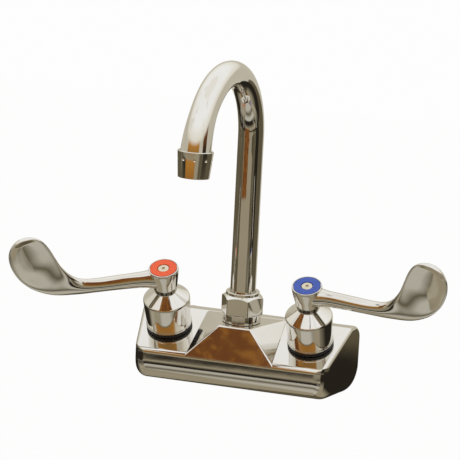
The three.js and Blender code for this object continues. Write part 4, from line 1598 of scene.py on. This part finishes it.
@dataclass(frozen=True)
class Card:
    """A painted card that only polished metal sees, bent round the faucet; it glows with painted
    light and shade, as no lamp lights it.

    Angles are seen from the faucet: azimuth from the front, to the right; elevation from level.
    The stops are what it shows at each elevation, and the veins are streaks across it. It is
    bent round middle, in millimetres, or where that isn't given round the faucet's own middle.
    """

    name: str
    azimuth: Point
    stops: Stops
    wobble: float = 0.03
    veins: Tone | None = None
    vein_share: float = 0.0
    vein_size: tuple[float, float] = (8.0, 24.0)
    distance: float = 900.0
    middle: tuple[float, float, float] | None = None

    def build(self, pivot: Vector) -> None:
        """Stands the card round the faucet.

        Args:
            pivot: The middle of the faucet, in metres.
        """
        centre = Vector(self.middle) if self.middle else pivot / MM
        bm = bmesh.new()
        bm.loops.layers.uv.new("flat")
        bmesh.ops.create_grid(bm, x_segments=24, y_segments=48, size=0.5, calc_uvs=True)
        low, high = self.stops[0][0], self.stops[-1][0]
        for vert in bm.verts:
            across = self.azimuth[0] + (self.azimuth[1] - self.azimuth[0]) * (vert.co.x + 0.5)
            rise = low + (high - low) * (vert.co.y + 0.5)
            vert.co = centre + direction(across, rise) * self.distance
        made = to_object(self.name, bm)
        made.data.materials.append(self._material())
        made.visible_camera = False
        made.visible_diffuse = False
        made.visible_shadow = False

    def _material(self) -> bpy.types.Material:
        """Evenly glowing paint in bands of elevation, the painted light and shade of a room, with
        wavy edges and a few veins.

        Returns:
            The material, which glows as bright as its tones are written.
        """
        made = blank_material(self.name)
        tree = made.node_tree
        low, high = self.stops[0][0], self.stops[-1][0]
        wide, tall = (self.azimuth[1] - self.azimuth[0]) / 10, (high - low) / 10
        flat = add_node(tree, "ShaderNodeTexCoord").outputs["UV"]
        waves = add_node(
            tree,
            "ShaderNodeTexNoise",
            Vector=add_node(
                tree, "ShaderNodeMapping", Vector=flat, Scale=(wide, tall, 1)
            ).outputs["Vector"],
            Scale=0.9,
            Detail=2.0,
        ).outputs["Fac"]
        height = add_node(tree, "ShaderNodeSeparateXYZ", Vector=flat).outputs["Y"]
        lifted = add_node(
            tree,
            "ShaderNodeMapRange",
            Value=waves,
            To_Min=-self.wobble,
            To_Max=self.wobble,
        ).outputs["Result"]
        shifted = add_node(tree, "ShaderNodeMath", {"operation": "ADD"}, _0=height, _1=lifted)
        ramp = add_node(tree, "ShaderNodeValToRGB", Fac=shifted.outputs[0])
        marks = ramp.color_ramp.elements
        while len(marks) < len(self.stops):
            marks.new(0.5)
        for mark, (rise, tone) in zip(marks, self.stops):
            mark.position = (rise - low) / (high - low)
            mark.color = linear(tone.value)
        colour = ramp.outputs["Color"]
        if self.veins:
            grain = add_node(
                tree,
                "ShaderNodeTexNoise",
                {"noise_dimensions": "2D"},
                Vector=add_node(
                    tree,
                    "ShaderNodeMapping",
                    Vector=flat,
                    Scale=(wide * 10 / self.vein_size[0], tall * 10 / self.vein_size[1], 1),
                ).outputs["Vector"],
                Scale=1.0,
                Detail=3.0,
                Distortion=0.8,
            ).outputs["Fac"]
            share = add_node(
                tree,
                "ShaderNodeMapRange",
                Value=grain,
                From_Min=0.52,
                From_Max=0.6,
                To_Max=self.vein_share,
            ).outputs["Result"]
            colour = add_node(
                tree,
                "ShaderNodeMix",
                {"data_type": "RGBA"},
                _0=share,
                _6=colour,
                _7=linear(self.veins.value),
            ).outputs[2]
        glow = add_node(tree, "ShaderNodeEmission", Color=colour, Strength=1.0)
        add_node(tree, "ShaderNodeOutputMaterial", Surface=glow.outputs[0])
        return made


# A plain kitchen of the usual sizes: heights above the floor and distances, in metres.
FAUCET_HEIGHT = 1.15
WORKTOP_HEIGHT = 0.9
SINK_FLOOR = 0.7
SHELF_HEIGHT = 1.45
CUPBOARD_TOP = 2.2
CEILING_HEIGHT = 2.6
SINK_DRAIN = 0.3  # the middle of the sink
DRAIN_REACH = 0.1  # how far the drain darkens the sink's floor
SINK_FAR_SIDE = 0.5
SINK_SHADE = (0.02, 0.12)  # heights of the far side's shade above the sink's floor
SHELF_GAP = 0.1  # from the top of the fronts to where what stands on them is plain to see
HARD_EDGE = 0.5  # degrees that a hard edge between two bands takes
OVERHEAD = 72  # degrees above level at which the cards end


def elevation(height: float, away: float) -> float:
    """How far above level the faucet sees a line of the kitchen.

    Args:
        height: The line's height above the floor, in metres.
        away: Its distance from the faucet, in metres.

    Returns:
        The elevation in degrees.
    """
    return math.degrees(math.atan2(height - FAUCET_HEIGHT, away))


@dataclass(frozen=True)
class Outlook:
    """One side of the kitchen: worktop or sink, a row of fronts, what stands on it, the wall."""

    name: str
    azimuth: Point
    worktop: Tone = Tone.STONE
    fronts: Tone = Tone.DRAB
    above: tuple[Tone, Tone] = (Tone.PLASTER, Tone.PLASTER)  # on the fronts, low and high
    has_sink: bool = False
    edge: float = 0.6  # from the faucet to the worktop's edge, in metres
    away: float = 2.8  # and to the fronts
    foot: float = 0.15  # height of the shaded gap at the foot of the fronts
    wobble: float = 0.006
    veins: Tone | None = None

    def below(self) -> Stops:
        """The worktop, or the sink with its drain and its far side in painted shade."""
        if not self.has_sink:
            return ((-90, self.worktop), (elevation(WORKTOP_HEIGHT, self.edge / 2), self.worktop))
        return (
            (-90, self.worktop),
            (elevation(SINK_FLOOR, SINK_DRAIN - DRAIN_REACH), self.worktop),
            (elevation(SINK_FLOOR, SINK_DRAIN), Tone.DRAB),
            (elevation(SINK_FLOOR, SINK_DRAIN + DRAIN_REACH), self.worktop),
            (elevation(SINK_FLOOR, SINK_FAR_SIDE), self.worktop),
            (elevation(SINK_FLOOR + SINK_SHADE[0], SINK_FAR_SIDE), Tone.SHADE),
            (elevation(SINK_FLOOR + SINK_SHADE[1], SINK_FAR_SIDE), Tone.SHADE),
            (elevation(WORKTOP_HEIGHT, SINK_FAR_SIDE), Tone.STONE),
        )

    def card(self) -> Card:
        """This side as one card of plain bands.

        Returns:
            The card.
        """
        edge = elevation(WORKTOP_HEIGHT, self.edge)
        foot = max(elevation(self.foot, self.away), edge + 4 * HARD_EDGE)
        stops = (
            *self.below(),
            # without a sink, the worktop darkens into painted shade towards its edge
            (edge, Tone.STONE if self.has_sink else Tone.SHADE),
            (edge + HARD_EDGE, Tone.SHADE),
            (foot - HARD_EDGE, Tone.SHADE),
            (foot + HARD_EDGE, self.fronts),
            (elevation(WORKTOP_HEIGHT, self.away), self.fronts),
            (elevation(WORKTOP_HEIGHT + SHELF_GAP, self.away), self.above[0]),
            (elevation(SHELF_HEIGHT, self.away), self.above[0]),
            (elevation(CUPBOARD_TOP, self.away), self.above[1]),
            (elevation(CEILING_HEIGHT, self.away), Tone.CREAM),
            (elevation(CEILING_HEIGHT, self.away / 2), Tone.WHITE),
            (OVERHEAD, Tone.WHITE),
        )
        return Card(
            f"card_room_{self.name}",
            self.azimuth,
            stops,
            self.wobble,
            self.veins,
            vein_share=0.35,
            vein_size=(30.0, 8.0),
        )


# The middle of the outlet housing, which sees its own near surroundings.
OUTLET_MIDDLE = (-10.0, -124.0, 150.0)
# The kitchen all round, a wooden board near the pad and three flags near the outlet.
ROOM: tuple[Card, ...] = (
    *(
        side.card()
        for side in (
            Outlook(
                "front",
                (-45, 35),
                Tone.STEEL,
                Tone.STONE,
                (Tone.UMBER, Tone.OAK),
                has_sink=True,
                wobble=0.003,
            ),
            Outlook("right", (35, 60), Tone.STEEL, has_sink=True, veins=Tone.PLASTER),
            Outlook("doorway", (60, 90), fronts=Tone.SHADE, above=(Tone.SHADE, Tone.WALNUT)),
            Outlook("back_right", (90, 150), edge=0.35),
            Outlook("back", (150, 210), Tone.DRAB, Tone.PLASTER, edge=0.35),
            Outlook("back_left", (-150, -105), edge=0.35),
            Outlook("left", (-105, -45), edge=0.45, veins=Tone.PLASTER),
        )
    ),
    Card(
        "card_board",
        (-45, 0),
        ((25, Tone.WALNUT), (55, Tone.WALNUT)),
        wobble=0,
        veins=Tone.OAK,
        vein_share=0.5,
        vein_size=(5, 2.5),
        distance=150,
        middle=(0, -45, 12),
    ),
    *(
        Card(name, azimuth, ((-25, low), (-5, high)), 0, distance=90, middle=OUTLET_MIDDLE)
        for name, azimuth, low, high in (
            ("card_outlet_shade", (-60, -40), Tone.DRAB, Tone.SHADE),
            ("card_outlet_board", (-40, 15), Tone.WALNUT, Tone.OAK),
            ("card_outlet_doorway", (60, 90), Tone.DRAB, Tone.SHADE),
        )
    ),
)


@dataclass(frozen=True)
class Lamp:
    """A soft rectangular lamp aimed at the faucet."""

    name: str
    azimuth: float
    elevation: float
    distance: float
    width: float
    height: float
    watts: float
    colour: str

    def build(self, pivot: Vector) -> None:
        """Hangs the lamp.

        Args:
            pivot: What it is aimed at, in metres.
        """
        way = direction(self.azimuth, self.elevation)
        light = bpy.data.lights.new(self.name, "AREA")
        light.shape = "RECTANGLE"
        light.size, light.size_y = self.width, self.height
        light.energy = self.watts
        light.color = linear(self.colour)[:3]
        made = bpy.data.objects.new(self.name, light)
        made.matrix_world = Matrix.Translation(pivot + way * self.distance) @ (
            way.to_track_quat("Z", "Y").to_matrix().to_4x4()
        )
        made.visible_glossy = False
        bpy.context.scene.collection.objects.link(made)


@dataclass
class Studio:
    """A pale floor, a white surround, soft lamps, and the cards that the chrome mirrors."""

    pivot: Vector = field(default_factory=lambda: Vector((0.0, -0.04, 0.07)))
    floor_height: float = -1.1
    floor_white: float = 0.97  # share of plain white in what the camera sees of the floor
    surround_light: float = 0.5
    surround_white: float = 0.985  # as the camera sees it
    cards: Sequence[Card] = ROOM
    lamps: Sequence[Lamp] = (
        Lamp("key_softbox", -48, 42, 1.3, 0.5, 0.7, 7.0, "#fff8ee"),
        Lamp("fill_softbox", 58, 24, 1.5, 0.4, 0.8, 3.5, "#fffdf8"),
        Lamp("top_softbox", 10, 84, 1.2, 0.7, 0.7, 4.0, "#ffffff"),
    )

    def world(self) -> None:
        """A white surround for the camera and for reflections, dimmer as a light."""
        world = bpy.data.worlds.new("white_room")
        bpy.context.scene.world = world
        world.use_nodes = True
        tree = world.node_tree
        tree.nodes.clear()
        path = add_node(tree, "ShaderNodeLightPath").outputs
        mirrored = add_node(
            tree,
            "ShaderNodeMath",
            {"operation": "MAXIMUM"},
            _0=path["Is Glossy Ray"],
            _1=path["Is Transmission Ray"],
        ).outputs[0]
        kind = "ShaderNodeBackground"
        light = add_node(tree, kind, Color=linear("#f4f1ea"), Strength=self.surround_light)
        shown = add_node(tree, kind, Color=(1, 1, 1, 1), Strength=self.surround_white)
        glossy = add_node(tree, kind, Color=linear("#f6f4ee"), Strength=1.0)
        part = add_node(
            tree, "ShaderNodeMixShader", _0=mirrored, _1=light.outputs[0], _2=glossy.outputs[0]
        )
        whole = add_node(
            tree,
            "ShaderNodeMixShader",
            _0=path["Is Camera Ray"],
            _1=part.outputs[0],
            _2=shown.outputs[0],
        )
        add_node(tree, "ShaderNodeOutputWorld", Surface=whole.outputs[0])

    def floor(self) -> None:
        """A wide pale floor well below the faucet, which hangs on a wall."""
        bm = bmesh.new()
        bmesh.ops.create_grid(
            bm,
            x_segments=1,
            y_segments=1,
            size=6000,
            matrix=Matrix.Translation((0, 0, self.floor_height / MM)),
        )
        made = to_object("pale_floor", bm)
        material = blank_material("pale_floor_paint")
        tree = material.node_tree
        camera = add_node(tree, "ShaderNodeLightPath").outputs["Is Camera Ray"]
        paint = add_node(tree, "ShaderNodeBsdfDiffuse", Color=linear("#efece4"))
        white = add_node(tree, "ShaderNodeEmission", Color=(1, 1, 1, 1), Strength=1.0)
        share = add_node(
            tree, "ShaderNodeMath", {"operation": "MULTIPLY"}, _0=camera, _1=self.floor_white
        ).outputs[0]
        mixed = add_node(
            tree, "ShaderNodeMixShader", _0=share, _1=paint.outputs[0], _2=white.outputs[0]
        )
        add_node(tree, "ShaderNodeOutputMaterial", Surface=mixed.outputs[0])
        made.data.materials.append(material)

    def build(self) -> None:
        """Sets up everything round the faucet."""
        self.world()
        self.floor()
        for card in self.cards:
            card.build(self.pivot)
        for lamp in self.lamps:
            lamp.build(self.pivot)
        view = bpy.context.scene.view_settings
        view.view_transform = "Standard"


@dataclass
class PhotoCamera:
    """The camera that the photograph was taken with, as worked out from it."""

    place: Vector = field(default_factory=lambda: Vector((425.64, -1634.35, 512.81)))
    yaw: float = math.radians(15.24)
    pitch: float = math.radians(14.44)
    roll: float = math.radians(2.88)
    focal_pixels: float = 2497.11

    def build(self) -> None:
        """Adds the camera and makes it the scene's."""
        data = bpy.data.cameras.new("photo_camera")
        data.sensor_width = SENSOR_MM
        data.lens = self.focal_pixels * SENSOR_MM / PHOTO_PIXELS
        made = bpy.data.objects.new("photo_camera", data)
        ahead = Vector(
            (
                -math.sin(self.yaw) * math.cos(self.pitch),
                math.cos(self.yaw) * math.cos(self.pitch),
                -math.sin(self.pitch),
            )
        )
        level = Vector((math.cos(self.yaw), math.sin(self.yaw), 0))
        above = level.cross(ahead)
        right = level * math.cos(self.roll) + above * math.sin(self.roll)
        up = above * math.cos(self.roll) - level * math.sin(self.roll)
        turned = Matrix((right, up, -ahead)).transposed().to_4x4()
        made.matrix_world = Matrix.Translation(self.place * MM) @ turned
        bpy.context.scene.collection.objects.link(made)
        bpy.context.scene.camera = made


def dress_nodes(frame: dict) -> None:
    """Gives every CAD node the finish of its slot; those inside keep their own shape.

    Args:
        frame: The loaded frame.
    """
    slots = {part["node"]: part["material_slot"] for part in frame["record"]["subparts"]}
    for name, node in frame["nodes"].items():
        material = SLOT_FINISHES[slots[name]].material()
        if not node.data.materials:
            node.data.materials.append(material)
        for slot in node.material_slots:
            slot.material = material


def main() -> None:
    """Builds the faucet, its finishes, the studio and the camera."""
    logging.basicConfig(level=logging.INFO, format="%(name)s %(message)s")
    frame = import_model()
    dress_nodes(frame)
    FaucetBody().build()
    Gooseneck().build()
    for side in Side:
        ValveTrim(side).build()
        InletFittings(side).build()
    Studio().build()
    PhotoCamera().build()


if __name__ == "__main__":
    main()
